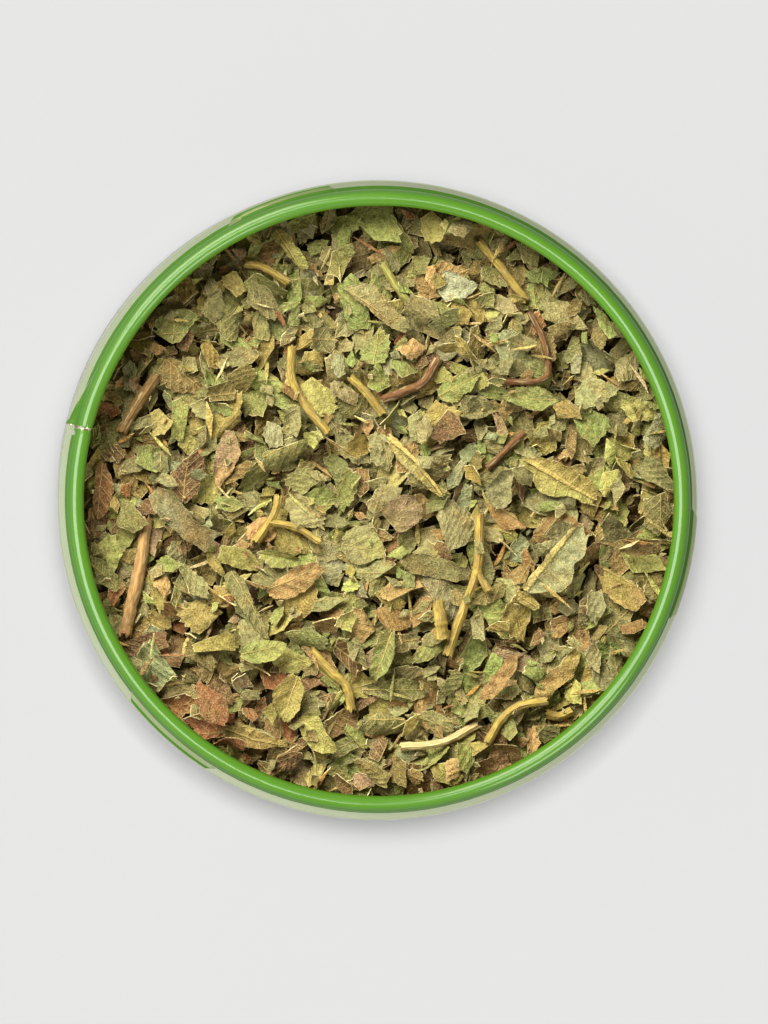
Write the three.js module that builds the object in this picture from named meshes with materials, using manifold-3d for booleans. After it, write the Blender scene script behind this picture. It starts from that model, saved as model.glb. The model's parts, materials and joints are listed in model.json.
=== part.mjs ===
// An open round tin, 70 mm over its screw lugs, filled with dried cut mint: a bed of broken leaves
// with bigger leaf pieces and stem pieces lying on it. Millimetres, +Z up, origin under the tin's middle.
import * as THREE from "three";
import { mergeVertices } from "three/addons/utils/BufferGeometryUtils.js";
import Module from "manifold-3d";

const wasm = await Module();
wasm.setup();

// Tin
const tinHeight = 80;
const neckRadius = 34; // outside of the neck, and of the curl on top of it
const bodyRadius = 35.2; // outside of the body, under the shoulder
const sheet = 0.3; // thickness of the steel sheet
const curlWidth = 1.8; // the rim is rolled inwards
const shoulderTop = 72.6;
const shoulderBottom = 71;
const roundSegments = 60;

// Screw lugs, pressed outwards from the neck
const lugCount = 3;
const lugStart = -11.8; // degrees, at the middle of the first lug
const lugSpan = 21.5; // degrees
const lugRadius = 35;
const lugHeight = 76.4; // of its middle
const lugThickness = 2;
const lugRise = 0.7; // from one end of a lug to the other

// Side seam
const seamAngle = 166.2; // degrees
const seamWidth = 1.1;
const seamProud = 0.14;
const seamNotch = 0.22; // width and depth of the cleft across the rim
const seamEarReach = 1.3; // the sheet's corner stands off the neck beside the seam
const seamEarSpan = 8.5; // degrees

// Bottom end, folded round the body's lower edge
const endRadius = 36.4;
const endHeight = 3;
const endPanel = 2.9; // height of the panel's upper face
const endSheet = 0.4;
const fold = 0.15; // clearance to the body's wall

// Mint
const bedClearance = 0.35; // to the tin's wall
const bedTop = 72.9; // of the packed leaves under the loose top ones
const bedMound = 0.7; // how much higher the middle lies than the edge
const leafThickness = 0.6;
const bedLayers = [
  { count: 58, lift: 0.35, tilt: 9, inset: 0, stations: 2 },
  { count: 32, lift: 0.95, tilt: 16, inset: 2, stations: 3 },
];
const bedLeafLength = [7, 10.5];
const bedLeafReach = 0.62; // share of its length that a leaf of the bed keeps from the neck
const goldenAngle = 137.508; // degrees
const seed = 20;
const layGap = 0.16; // between a piece and what it lies on
const gridStep = 0.25;
const rimReach = 31.9; // loose pieces stay inside the curl

const degrees = Math.PI / 180;
const upright = new THREE.Vector3(0, 0, 1);

const material = (color, roughness, metalness = 0) =>
  new THREE.MeshStandardMaterial({ color, roughness, metalness, side: THREE.DoubleSide });
const finishes = {
  lacquer: material("#55a82f", 0.25, 0.2),
  tinplate: material("#b9bcb4", 0.35, 0.9),
  grey: material("#7e8a5c", 0.8),
  green: material("#84924c", 0.8),
  dark: material("#5f6a3f", 0.85),
  lime: material("#a2a552", 0.8),
  olive: material("#8d8246", 0.8),
  brown: material("#7d6a45", 0.85),
  rust: material("#9a5a31", 0.8),
  straw: material("#b1914f", 0.7),
  pale: material("#cdbf86", 0.7),
};

// A repeatable stream of numbers from 0 to 1
function randomFrom(start) {
  let state = start >>> 0;
  return () => {
    state = (state + 0x6d2b79f5) >>> 0;
    let t = Math.imul(state ^ (state >>> 15), 1 | state);
    t = (t + Math.imul(t ^ (t >>> 7), 61 | t)) ^ t;
    return ((t ^ (t >>> 14)) >>> 0) / 4294967296;
  };
}

// The closed solid of a geometry whose faces may all point in or all point out
function solidOf(geometry) {
  const bare = new THREE.BufferGeometry();
  const flat = geometry.index ? geometry.toNonIndexed() : geometry;
  bare.setAttribute("position", flat.getAttribute("position"));
  const merged = mergeVertices(bare, 1e-4);
  const corners = merged.index.array;
  const kept = [];
  for (let i = 0; i < corners.length; i += 3) {
    const [a, b, c] = corners.slice(i, i + 3);
    if (a !== b && b !== c && c !== a) kept.push(a, b, c);
  }
  const make = (triVerts) =>
    new wasm.Manifold(
      new wasm.Mesh({
        numProp: 3,
        vertProperties: merged.attributes.position.array,
        triVerts: new Uint32Array(triVerts),
      }),
    );
  const made = make(kept);
  return made.volume() > 0 ? made : make(kept.reverse());
}

function geometryOf(solid) {
  const { vertProperties, triVerts } = solid.getMesh();
  const geometry = new THREE.BufferGeometry();
  geometry.setAttribute("position", new THREE.BufferAttribute(vertProperties, 3));
  geometry.setIndex(new THREE.BufferAttribute(triVerts, 1));
  geometry.computeVertexNormals();
  return geometry;
}

// The largest body of a solid: loose scraps and sealed hollows are left out
function largestBody(solid) {
  const bodies = solid.decompose();
  return bodies.reduce((best, b) => (b.volume() > best.volume() ? b : best));
}

function meshOf(name, solid, finish) {
  const mesh = new THREE.Mesh(geometryOf(solid), finishes[finish]);
  mesh.name = name;
  return mesh;
}

// A solid of revolution about Z from [radius, height] points
function turned(points) {
  const profile = points.map(([radius, height]) => new THREE.Vector2(radius, height));
  return solidOf(new THREE.LatheGeometry(profile, roundSegments).rotateX(Math.PI / 2));
}

// A closed skin over rings of equally many points, capped across from each ring's first to its last points
function lofted(rings) {
  const count = rings[0].length;
  const corners = rings.flat().flatMap((p) => [p.x, p.y, p.z]);
  const faces = [];
  const quad = (a, b, c, d) => faces.push(a, b, c, a, c, d);
  for (let r = 0; r + 1 < rings.length; r++)
    for (let i = 0; i < count; i++) {
      const j = (i + 1) % count;
      quad(r * count + i, r * count + j, (r + 1) * count + j, (r + 1) * count + i);
    }
  const last = (rings.length - 1) * count;
  for (let i = 0; i < count / 2 - 1; i++) {
    quad(count - 1 - i, count - 2 - i, i + 1, i);
    quad(last + i, last + i + 1, last + count - 2 - i, last + count - 1 - i);
  }
  const geometry = new THREE.BufferGeometry();
  geometry.setAttribute("position", new THREE.Float32BufferAttribute(corners, 3));
  geometry.setIndex(faces);
  return solidOf(geometry);
}

const aroundZ = (radius, angle, height) =>
  new THREE.Vector3(radius * Math.cos(angle * degrees), radius * Math.sin(angle * degrees), height);

// A ridge on the outside of the neck, whose reach and height follow its course from 0 to 1
function neckRidge(from, span, stations, thickness, reach, height) {
  const root = neckRadius - sheet / 2;
  const rings = [];
  for (let i = 0; i <= stations; i++) {
    const share = i / stations;
    const angle = from + span * share;
    const crest = root + reach(share);
    const middle = height(share);
    rings.push([
      aroundZ(root, angle, middle - thickness / 2),
      aroundZ(crest, angle, middle - thickness / 4),
      aroundZ(crest, angle, middle + thickness / 4),
      aroundZ(root, angle, middle + thickness / 2),
    ]);
  }
  return lofted(rings);
}

function lug(index) {
  const stations = 6;
  const middle = lugStart + (index * 360) / lugCount;
  const reach = lugRadius - neckRadius + sheet / 2;
  const eased = (share) => Math.min(1, 0.25 + 4.5 * Math.min(share, 1 - share));
  return neckRidge(
    middle - lugSpan / 2,
    lugSpan,
    stations,
    lugThickness,
    (share) => reach * eased(share),
    (share) => lugHeight + lugRise * (share - 0.5),
  );
}

// The corner of the sheet that stands off the neck beside the seam
function seamEar() {
  const stations = 3;
  const tall = 2.8;
  return neckRidge(
    seamAngle - seamEarSpan,
    seamEarSpan,
    stations,
    tall,
    (share) => 0.2 + seamEarReach * share * share,
    () => lugHeight + tall / 4,
  );
}

// A straight bar along the seam, its middle at a given radius
function seamBar(width, depth, radius, bottom, top) {
  const bar = new THREE.BoxGeometry(depth, width, top - bottom);
  bar.translate(radius, 0, (top + bottom) / 2);
  return solidOf(bar.rotateZ(seamAngle * degrees));
}

// Welded body with its neck, its inward curl and its lugs, all of one sheet
function tinBody() {
  const inner = neckRadius - sheet;
  const curlRadius = curlWidth / 2;
  const curlMiddle = neckRadius - curlRadius;
  const curlHeight = tinHeight - curlRadius;
  const curlEnd = 275; // degrees round the curl
  const curl = (radius, from, to, steps) =>
    Array.from({ length: steps + 1 }, (_, i) => {
      const angle = (from + ((to - from) * i) / steps) * degrees;
      return [curlMiddle + radius * Math.cos(angle), curlHeight + radius * Math.sin(angle)];
    });
  const outside = [
    [bodyRadius, endSheet + fold],
    [bodyRadius, shoulderBottom],
    [bodyRadius - 0.25, shoulderBottom + 0.75],
    [neckRadius + 0.3, shoulderTop - 0.4],
    [neckRadius, shoulderTop],
  ];
  const inside = [
    [inner, shoulderTop - 0.1],
    [inner + 0.3, shoulderTop - 0.55],
    [bodyRadius - sheet - 0.2, shoulderBottom + 0.55],
    [bodyRadius - sheet, shoulderBottom - 0.1],
    [bodyRadius - sheet, endSheet + fold],
  ];
  const shell = turned([
    ...outside,
    ...curl(curlRadius, 0, curlEnd, 9),
    ...curl(curlRadius - sheet, curlEnd, 0, 5),
    ...inside,
    outside[0],
  ]);
  const lugs = Array.from({ length: lugCount }, (_, i) => lug(i));
  const weld = (radius, bottom, top) =>
    seamBar(seamWidth, sheet, radius + seamProud - sheet / 2, bottom, top);
  const notch = seamBar(
    seamNotch,
    2 * curlWidth,
    curlMiddle,
    tinHeight - seamNotch,
    tinHeight + 1,
  );
  const welds = [
    weld(bodyRadius, endHeight + 0.5, shoulderBottom),
    weld(neckRadius, shoulderTop, curlHeight),
  ];
  return wasm.Manifold.union([shell, ...lugs, seamEar(), ...welds]).subtract(notch);
}

// Bottom end: a recessed panel with a stiffening bead, and the double fold that it stands on
function tinEnd() {
  const wallInside = bodyRadius - sheet - fold;
  const wallOutside = bodyRadius + fold;
  const panelUnder = endPanel - endSheet;
  const bead = { from: 22, to: 28, slope: 1.2, dip: 0.4 };
  return turned([
    [0, panelUnder],
    [bead.from, panelUnder],
    [bead.from + bead.slope, panelUnder - bead.dip],
    [bead.to - bead.slope, panelUnder - bead.dip],
    [bead.to, panelUnder],
    [wallInside - endSheet, panelUnder],
    [wallInside - endSheet, 0.2],
    [wallInside - endSheet + 0.2, 0],
    [endRadius - 0.4, 0],
    [endRadius, 0.4],
    [endRadius, endHeight - 0.4],
    [endRadius - 0.3, endHeight],
    [wallOutside, endHeight],
    [wallOutside, endSheet],
    [wallInside, endSheet],
    [wallInside, endPanel],
    [0, endPanel],
  ]);
}

// Half the width of a mint leaf at a share of its length, as a share of its greatest half width
const leafHalfWidth = (share) => Math.sin(Math.PI * Math.pow(share, 0.8)) ** 0.7;

// A broken piece of leaf, cut out of a whole leaf between the shares from and to of its length. Its rib runs
// along X, it is folded along the rib by slope, arched along it by arch, and its edge has teeth of a depth.
function leafPiece({ long, wide, from, to, slope, arch, teeth, skew, thickness, stations }) {
  const rings = [];
  const widest = Math.max(leafHalfWidth(from), leafHalfWidth(to), leafHalfWidth((from + to) / 2));
  for (let i = 0; i < stations; i++) {
    const share = i / (stations - 1);
    const x = (share - 0.5) * long;
    const half = (wide / 2 / widest) * Math.max(0.16, leafHalfWidth(from + (to - from) * share));
    const tooth = i % 2 ? teeth : -teeth;
    const rib = arch * (1 - 4 * (share - 0.5) ** 2);
    const left = half * (1 + tooth);
    const right = half * (1 - tooth * 0.6);
    const top = [
      [x + skew * left, left, rib + slope * left],
      [x, 0, rib],
      [x - skew * right, -right, rib + slope * right * 0.7],
    ];
    const under = [...top].reverse().map(([px, py, pz]) => [px, py, pz - thickness]);
    rings.push([...top, ...under].map((p) => new THREE.Vector3(...p)));
  }
  return lofted(rings);
}

// A stem piece along a smooth course of [x, y] points, squarish in section, thicker at its joints
function stemPiece(course, thick, lift = 0) {
  const sides = 6;
  const points = course.map(([x, y], i) => {
    const share = i / (course.length - 1);
    return new THREE.Vector3(x, y, lift * Math.sin(Math.PI * share));
  });
  const curve = new THREE.CatmullRomCurve3(points);
  const steps = course.length + 3;
  const rings = [];
  for (let i = 0; i <= steps; i++) {
    const middle = curve.getPoint(i / steps);
    const along = curve.getTangent(i / steps);
    const across = new THREE.Vector3().crossVectors(upright, along).normalize();
    const up = new THREE.Vector3().crossVectors(along, across);
    const radius = (thick / 2) * (i === 0 || i === steps ? 1.12 : 1 + 0.06 * Math.cos(2.3 * i));
    rings.push(
      Array.from({ length: sides }, (_, k) => {
        const angle = ((k + 0.5) / sides) * 2 * Math.PI;
        return middle
          .clone()
          .addScaledVector(across, radius * Math.cos(angle))
          .addScaledVector(up, radius * Math.sin(angle));
      }),
    );
  }
  return lofted(rings);
}

const turnedAndTilted = (solid, turn, tiltAlong, tiltAcross) =>
  solid.rotate([tiltAcross, 0, 0]).rotate([0, tiltAlong, 0]).rotate([0, 0, turn]);

// The packed mint: a core inside the tin's wall, under layers of broken leaves that are sunk into it
function mintBed() {
  const bottom = endPanel + bedClearance;
  const neck = neckRadius - sheet - bedClearance;
  const body = bodyRadius - sheet - bedClearance;
  const mound = (radius) => bedTop - bedMound * (radius / neck) ** 2;
  const bevel = 0.6;
  const core = turned([
    [0, bottom],
    [body - bevel, bottom],
    [body, bottom + bevel],
    [body, shoulderBottom - 1],
    [neck, shoulderTop - 1.4],
    [neck, mound(neck)],
    [0.6 * neck, mound(0.6 * neck)],
    [0, mound(0)],
  ]);
  const random = randomFrom(seed);
  const between = (low, high) => low + (high - low) * random();
  const layer = ({ count, lift, tilt, inset, stations }) =>
    Array.from({ length: count }, (_, i) => {
      const radius = (neck - inset) * Math.sqrt((i + 0.5) / count);
      const angle = i * goldenAngle + between(-8, 8);
      const long = between(...bedLeafLength);
      const from = between(0.05, 0.4);
      const leaf = leafPiece({
        long,
        wide: long * between(0.5, 0.85),
        from,
        to: from + between(0.4, 0.55),
        slope: between(-0.22, 0.3),
        arch: between(-0.4, 0.7),
        teeth: between(-0.16, 0.16),
        skew: between(-0.35, 0.35),
        thickness: leafThickness,
        stations,
      });
      const inward = Math.min(radius, neck - bedLeafReach * long);
      const place = aroundZ(inward, angle, mound(inward) + lift);
      const tilts = [between(-tilt, tilt), between(-tilt, tilt)];
      return turnedAndTilted(leaf, between(0, 360), ...tilts).translate(place.toArray());
    });
  const underCurl = tinHeight - curlWidth - 2 * bedClearance;
  const room = turned([
    [0, bottom],
    [neck, bottom],
    [neck, underCurl],
    [0, underCurl],
  ]);
  const loose = wasm.Manifold.union(bedLayers.flatMap(layer)).intersect(room);
  return largestBody(core.add(loose));
}

// The bigger leaf pieces, in the order in which they are laid. at is the middle in millimetres, turn the
// rib's direction, tilt the slopes along and across the rib, in degrees.
const leafPieces = [
  { name: "leaf_dark_left", finish: "brown", at: [-21.2, -1.6], turn: -38, long: 8.8, wide: 3.9 },
  { name: "leaf_broad_top", finish: "brown", at: [-0.3, 21.1], turn: -32, long: 8.3, wide: 3.7 },
  { name: "leaf_broad_right", finish: "grey", at: [19.4, -6.8], turn: 41, long: 9.2, wide: 4.6 },
  { name: "leaf_yellow_right", finish: "lime", at: [19.8, 2.3], turn: -29, long: 9.5, wide: 3.7 },
  { name: "leaf_dark_centre", finish: "dark", at: [6.2, -7.3], turn: -12, long: 7.8, wide: 2.6 },
  { name: "leaf_tan_right", finish: "brown", at: [27, -9.4], turn: -36, long: 6.6, wide: 3.7 },
  { name: "leaf_olive_right", finish: "olive", at: [27.6, -4.9], turn: -7, long: 6.6, wide: 2.1 },
  { name: "leaf_brown_low", finish: "olive", at: [-13.4, -25.7], turn: -14, long: 7.4, wide: 3.1 },
  { name: "leaf_ribbed_middle", finish: "olive", at: [4.3, 3.9], turn: -45, long: 9, wide: 2.4 },
  { name: "leaf_long_low", finish: "olive", at: [19.7, -19.4], turn: 44, long: 7.3, wide: 2.4 },
  { name: "leaf_dark_low", finish: "dark", at: [1.7, -20.7], turn: 0, long: 6.9, wide: 2.6 },
  { name: "leaf_green_right", finish: "green", at: [16.8, 10.7], turn: 5, long: 6, wide: 3.3 },
  { name: "leaf_purple_left", finish: "brown", at: [-16.5, 4.5], turn: -100, long: 6.4, wide: 2.8 },
  { name: "leaf_brown_centre", finish: "olive", at: [-8.8, -9], turn: 31, long: 6.4, wide: 3.3 },
  { name: "leaf_rolled_left", finish: "dark", at: [-14.2, -11.5], turn: -60, long: 8.6, wide: 2.1 },
  { name: "leaf_wedge_low", finish: "brown", at: [13.2, -19.6], turn: 44, long: 6.3, wide: 2.1 },
  { name: "leaf_folded_low", finish: "green", at: [0.6, -17.1], turn: -109, long: 5.8, wide: 2.4 },
  { name: "leaf_lime_low", finish: "lime", at: [-6.6, -25.6], turn: -44, long: 5.3, wide: 3.3 },
  { name: "leaf_olive_low", finish: "olive", at: [-10.1, -21.6], turn: -102, long: 5.2, wide: 3.3 },
  { name: "leaf_green_low", finish: "green", at: [-12.6, -16.5], turn: 16, long: 5.1, wide: 2.4 },
  { name: "leaf_rust_low", finish: "rust", at: [-18.1, -22.1], turn: -49, long: 5.3, wide: 3.3 },
  { name: "leaf_rust_left", finish: "rust", at: [-30, 1.1], turn: -95, long: 6.2, wide: 2.4 },
  { name: "leaf_ribbed_top", finish: "lime", at: [-9.9, 27.4], turn: -53, long: 5.4, wide: 2.2 },
  { name: "leaf_orange", finish: "olive", at: [14, -1.6], turn: -25, long: 5.2, wide: 2.8 },
  { name: "leaf_green_top", finish: "green", at: [8.9, 12.6], turn: 27, long: 4.9, wide: 2.6 },
  { name: "leaf_round_centre", finish: "grey", at: [-1.5, -5], turn: -16, long: 4.8, wide: 4.4 },
  { name: "leaf_grey_right", finish: "grey", at: [13.6, 1.4], turn: 54, long: 4.7, wide: 3.1 },
  { name: "leaf_toothed_left", finish: "green", at: [-22.6, 19.6], turn: 9, long: 4.6, wide: 3.7 },
  { name: "leaf_pale_top", finish: "grey", at: [8.7, 23.2], turn: 7, long: 4.4, wide: 3.7 },
  { name: "leaf_speckled", finish: "brown", at: [2.7, -1.1], turn: 34, long: 3.9, wide: 3.9 },
];

// The stem pieces, by the course of each, in millimetres. A branch makes a fork.
const stemPieces = [
  {
    name: "stem_long_left",
    finish: "straw",
    thick: 1.4,
    course: [[-25.5, -2], [-26, -6.5], [-27, -11], [-27.8, -14.6]],
  },
  {
    name: "stem_forked",
    finish: "straw",
    thick: 1,
    course: [[7.5, -17], [8.5, -13.5], [10, -10], [10.5, -6.5], [11, -1.5]],
    branch: [[10.1, -8.6], [11, -8.6], [12.2, -9.8]],
  },
  {
    name: "stem_dark_right",
    finish: "rust",
    thick: 0.7,
    course: [[16.5, 20.6], [18, 17.5], [18.5, 14], [17, 13], [13.5, 13]],
  },
  {
    name: "stem_curved_top",
    finish: "straw",
    thick: 0.9,
    course: [[-9.5, 17], [-9.5, 13.5], [-8, 10.5], [-5.5, 7.5]],
  },
  {
    name: "stem_jointed_top",
    finish: "straw",
    thick: 0.9,
    course: [[11, 28.5], [13.5, 25.5], [16.2, 22]],
  },
  {
    name: "stem_bent_low",
    finish: "straw",
    thick: 0.9,
    course: [[12, -26.5], [13.5, -24], [15.5, -22.5], [18.5, -22]],
  },
  {
    name: "stem_pale_low",
    finish: "pale",
    thick: 0.9,
    course: [[2.5, -27], [7, -26.5], [11, -24.5]],
  },
  { name: "stem_stub", finish: "straw", thick: 1.4, course: [[6.5, -11], [6.8, -13], [7, -15]] },
  {
    name: "stem_low",
    finish: "straw",
    thick: 1,
    course: [[-7.5, -16.5], [-5, -19], [-3.5, -20.5], [-3, -23]],
  },
  {
    name: "stem_low_right",
    finish: "straw",
    thick: 1,
    course: [[18.8, -23.7], [20, -23.9], [21.4, -23.4]],
  },
  {
    name: "stem_fork_left",
    finish: "straw",
    thick: 0.9,
    course: [[-13.5, -4.5], [-11.5, -1.5], [-11, 0.5]],
    branch: [[-12, -2.3], [-9, -3], [-6.5, -4.5]],
  },
  {
    name: "stem_brown_left",
    finish: "olive",
    thick: 1.2,
    course: [[-28.3, 7.5], [-26.5, 10.5], [-24.5, 13.5]],
  },
  {
    name: "stem_rust_middle",
    finish: "rust",
    thick: 1,
    course: [[6.5, 15.5], [5, 13], [3, 12], [0.5, 11]],
  },
  {
    name: "stem_rust_right",
    finish: "rust",
    thick: 0.8,
    course: [[16, 7.5], [14, 5.5], [12, 3.5]],
  },
  {
    name: "stem_tan_middle",
    finish: "straw",
    thick: 0.9,
    course: [[-3, 13.5], [-1.5, 12], [0.5, 9.5]],
  },
  {
    name: "stem_tan_top",
    finish: "straw",
    thick: 0.9,
    course: [[-14.5, 26], [-12.5, 25.5], [-10, 24]],
  },
  {
    name: "stem_olive_top",
    finish: "olive",
    thick: 0.9,
    course: [[0.5, 26], [2, 23.5], [4, 21]],
  },
];

// How a leaf piece differs from its neighbours: a smooth rule in its number, so that no two are alike
function characterOf(index) {
  const wave = (step, phase) => Math.sin(step * index + phase);
  return {
    from: 0.12 + 0.08 * wave(1.7, 0),
    to: 0.74 + 0.1 * wave(2.3, 1),
    slope: 0.16 + 0.14 * wave(1.1, 2),
    arch: 0.35 + 0.35 * wave(0.9, 0.5),
    teeth: 0.07 + 0.04 * wave(2.9, 0.3),
    skew: 0.2 * wave(1.3, 0.8),
    tiltAlong: 6 * wave(2.1, 0.7),
    tiltAcross: 7 * wave(1.9, 2.2),
  };
}

function looseLeaf(piece, index) {
  const { tiltAlong, tiltAcross, ...shape } = characterOf(index);
  const stations = 6;
  const solid = leafPiece({ ...piece, ...shape, thickness: leafThickness, stations });
  return turnedAndTilted(solid, piece.turn, tiltAlong, tiltAcross).translate([...piece.at, 0]);
}

function looseStem({ course, branch, thick }) {
  const lift = 0.35;
  const main = stemPiece(course, thick, lift);
  return branch ? main.add(stemPiece(branch, thick * 0.85).translate([0, 0, lift])) : main;
}

// Heights of what lies in the tin so far, on a square grid that covers it
const gridHalf = Math.ceil(neckRadius / gridStep);
const gridSize = 2 * gridHalf + 1;
const emptyGrid = (value) => new Float32Array(gridSize * gridSize).fill(value);

// Writes the upper or lower side of a solid into a grid, by the heights of its faces over each grid point
function drawHeights(grid, solid, upper) {
  const { vertProperties: v, triVerts } = solid.getMesh();
  for (let t = 0; t < triVerts.length; t += 3) {
    const [a, b, c] = [0, 1, 2].map((k) => v.subarray(3 * triVerts[t + k], 3 * triVerts[t + k] + 3));
    const area = (b[0] - a[0]) * (c[1] - a[1]) - (c[0] - a[0]) * (b[1] - a[1]);
    if (upper ? area <= 1e-9 : area >= -1e-9) continue;
    const low = [0, 1].map((k) => Math.ceil(Math.min(a[k], b[k], c[k]) / gridStep));
    const high = [0, 1].map((k) => Math.floor(Math.max(a[k], b[k], c[k]) / gridStep));
    for (let j = low[1]; j <= high[1]; j++)
      for (let i = low[0]; i <= high[0]; i++) {
        const [x, y] = [i * gridStep, j * gridStep];
        const wb = ((x - a[0]) * (c[1] - a[1]) - (c[0] - a[0]) * (y - a[1])) / area;
        const wc = ((b[0] - a[0]) * (y - a[1]) - (x - a[0]) * (b[1] - a[1])) / area;
        if (wb < 0 || wc < 0 || wb + wc > 1) continue;
        const cell = (j + gridHalf) * gridSize + i + gridHalf;
        const height = a[2] + wb * (b[2] - a[2]) + wc * (c[2] - a[2]);
        grid[cell] = upper ? Math.max(grid[cell], height) : Math.min(grid[cell], height);
      }
  }
}

// Lets a solid down on what already lies there, and adds it to the heights
function layDown(heights, solid) {
  const under = emptyGrid(Infinity);
  drawHeights(under, solid, false);
  let lift = -Infinity;
  for (let cell = gridSize + 1; cell < under.length - gridSize - 1; cell++) {
    if (under[cell] === Infinity) continue;
    for (const row of [-gridSize, 0, gridSize])
      for (const column of [-1, 0, 1])
        lift = Math.max(lift, heights[cell + row + column] - under[cell]);
  }
  const laid = solid.translate([0, 0, lift + layGap]);
  drawHeights(heights, laid, true);
  return laid;
}

// Moves a solid towards the middle until it is clear of the curl
function insideRim(solid) {
  const { vertProperties: v } = solid.getMesh();
  let reach = 0;
  let at = [1, 0];
  for (let i = 0; i < v.length; i += 3)
    if (Math.hypot(v[i], v[i + 1]) > reach) {
      reach = Math.hypot(v[i], v[i + 1]);
      at = [v[i] / reach, v[i + 1] / reach];
    }
  const over = Math.max(0, reach - rimReach);
  return solid.translate([-over * at[0], -over * at[1], 0]);
}

function mint() {
  const group = new THREE.Group();
  const bed = mintBed();
  const heights = emptyGrid(0);
  drawHeights(heights, bed, true);
  group.add(meshOf("mint_bed", bed, "green"));
  const lay = (name, solid, finish) =>
    group.add(meshOf(name, layDown(heights, insideRim(solid)), finish));
  leafPieces.forEach((piece, i) => lay(piece.name, looseLeaf(piece, i), piece.finish));
  stemPieces.forEach((piece) => lay(piece.name, looseStem(piece), piece.finish));
  return group;
}

function tin() {
  const group = new THREE.Group();
  group.add(meshOf("tin_body", tinBody(), "lacquer"), meshOf("tin_end", tinEnd(), "tinplate"));
  return group;
}

const openMintTin = new THREE.Group();
openMintTin.add(tin(), mint());

export default openMintTin;
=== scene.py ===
import json
import math

import bmesh
import bpy
import numpy as np
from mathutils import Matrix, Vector
from mathutils.bvhtree import BVHTree

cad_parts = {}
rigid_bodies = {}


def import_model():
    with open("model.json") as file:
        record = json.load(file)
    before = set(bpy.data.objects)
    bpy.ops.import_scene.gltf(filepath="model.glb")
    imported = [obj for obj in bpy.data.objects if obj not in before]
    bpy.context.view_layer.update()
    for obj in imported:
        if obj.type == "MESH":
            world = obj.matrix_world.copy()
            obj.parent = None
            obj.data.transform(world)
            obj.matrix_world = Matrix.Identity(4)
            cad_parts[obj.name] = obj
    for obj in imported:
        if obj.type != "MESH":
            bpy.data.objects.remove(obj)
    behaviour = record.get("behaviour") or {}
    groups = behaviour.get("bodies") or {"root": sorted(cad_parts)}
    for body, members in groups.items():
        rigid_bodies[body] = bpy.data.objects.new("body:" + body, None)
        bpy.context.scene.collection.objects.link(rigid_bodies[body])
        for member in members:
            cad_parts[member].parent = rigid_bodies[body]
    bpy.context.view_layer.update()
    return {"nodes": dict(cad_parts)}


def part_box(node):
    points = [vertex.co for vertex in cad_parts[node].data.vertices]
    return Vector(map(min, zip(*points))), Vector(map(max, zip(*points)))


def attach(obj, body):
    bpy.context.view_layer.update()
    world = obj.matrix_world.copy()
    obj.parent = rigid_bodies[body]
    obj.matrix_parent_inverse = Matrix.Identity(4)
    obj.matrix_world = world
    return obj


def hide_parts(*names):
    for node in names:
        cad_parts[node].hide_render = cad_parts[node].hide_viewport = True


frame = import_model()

mm = 0.001  # every size below is in millimetres
turnOf = 2 * math.pi
print("frame loaded:", len(frame["nodes"]), "nodes")


# Shaders: a socket that can be added, multiplied and so on, and a material made of nodes

class Wire:
    def __init__(self, finish, socket):
        self.finish = finish
        self.socket = socket

    def maths(self, operation, a, b=0.0):
        return self.finish.node("Math", {"operation": operation}, {0: a, 1: b})

    def __add__(self, other):
        return self.maths("ADD", self, other)

    def __sub__(self, other):
        return self.maths("SUBTRACT", self, other)

    def __rsub__(self, other):
        return self.maths("SUBTRACT", other, self)

    def __mul__(self, other):
        return self.maths("MULTIPLY", self, other)

    def __truediv__(self, other):
        return self.maths("DIVIDE", self, other)

    def __pow__(self, other):
        return self.maths("POWER", self, other)

    def __lt__(self, other):
        return self.maths("LESS_THAN", self, other)

    def __gt__(self, other):
        return self.maths("GREATER_THAN", self, other)

    def __abs__(self):
        return self.maths("ABSOLUTE", self)

    __radd__ = __add__
    __rmul__ = __mul__


def paint(code):  # "#rrggbb" as the linear colour that shaders take
    parts = [int(code[i:i + 2], 16) / 255 for i in (1, 3, 5)]
    return tuple(c / 12.92 if c <= 0.04045 else ((c + 0.055) / 1.055) ** 2.4 for c in parts) + (1.0,)


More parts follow.
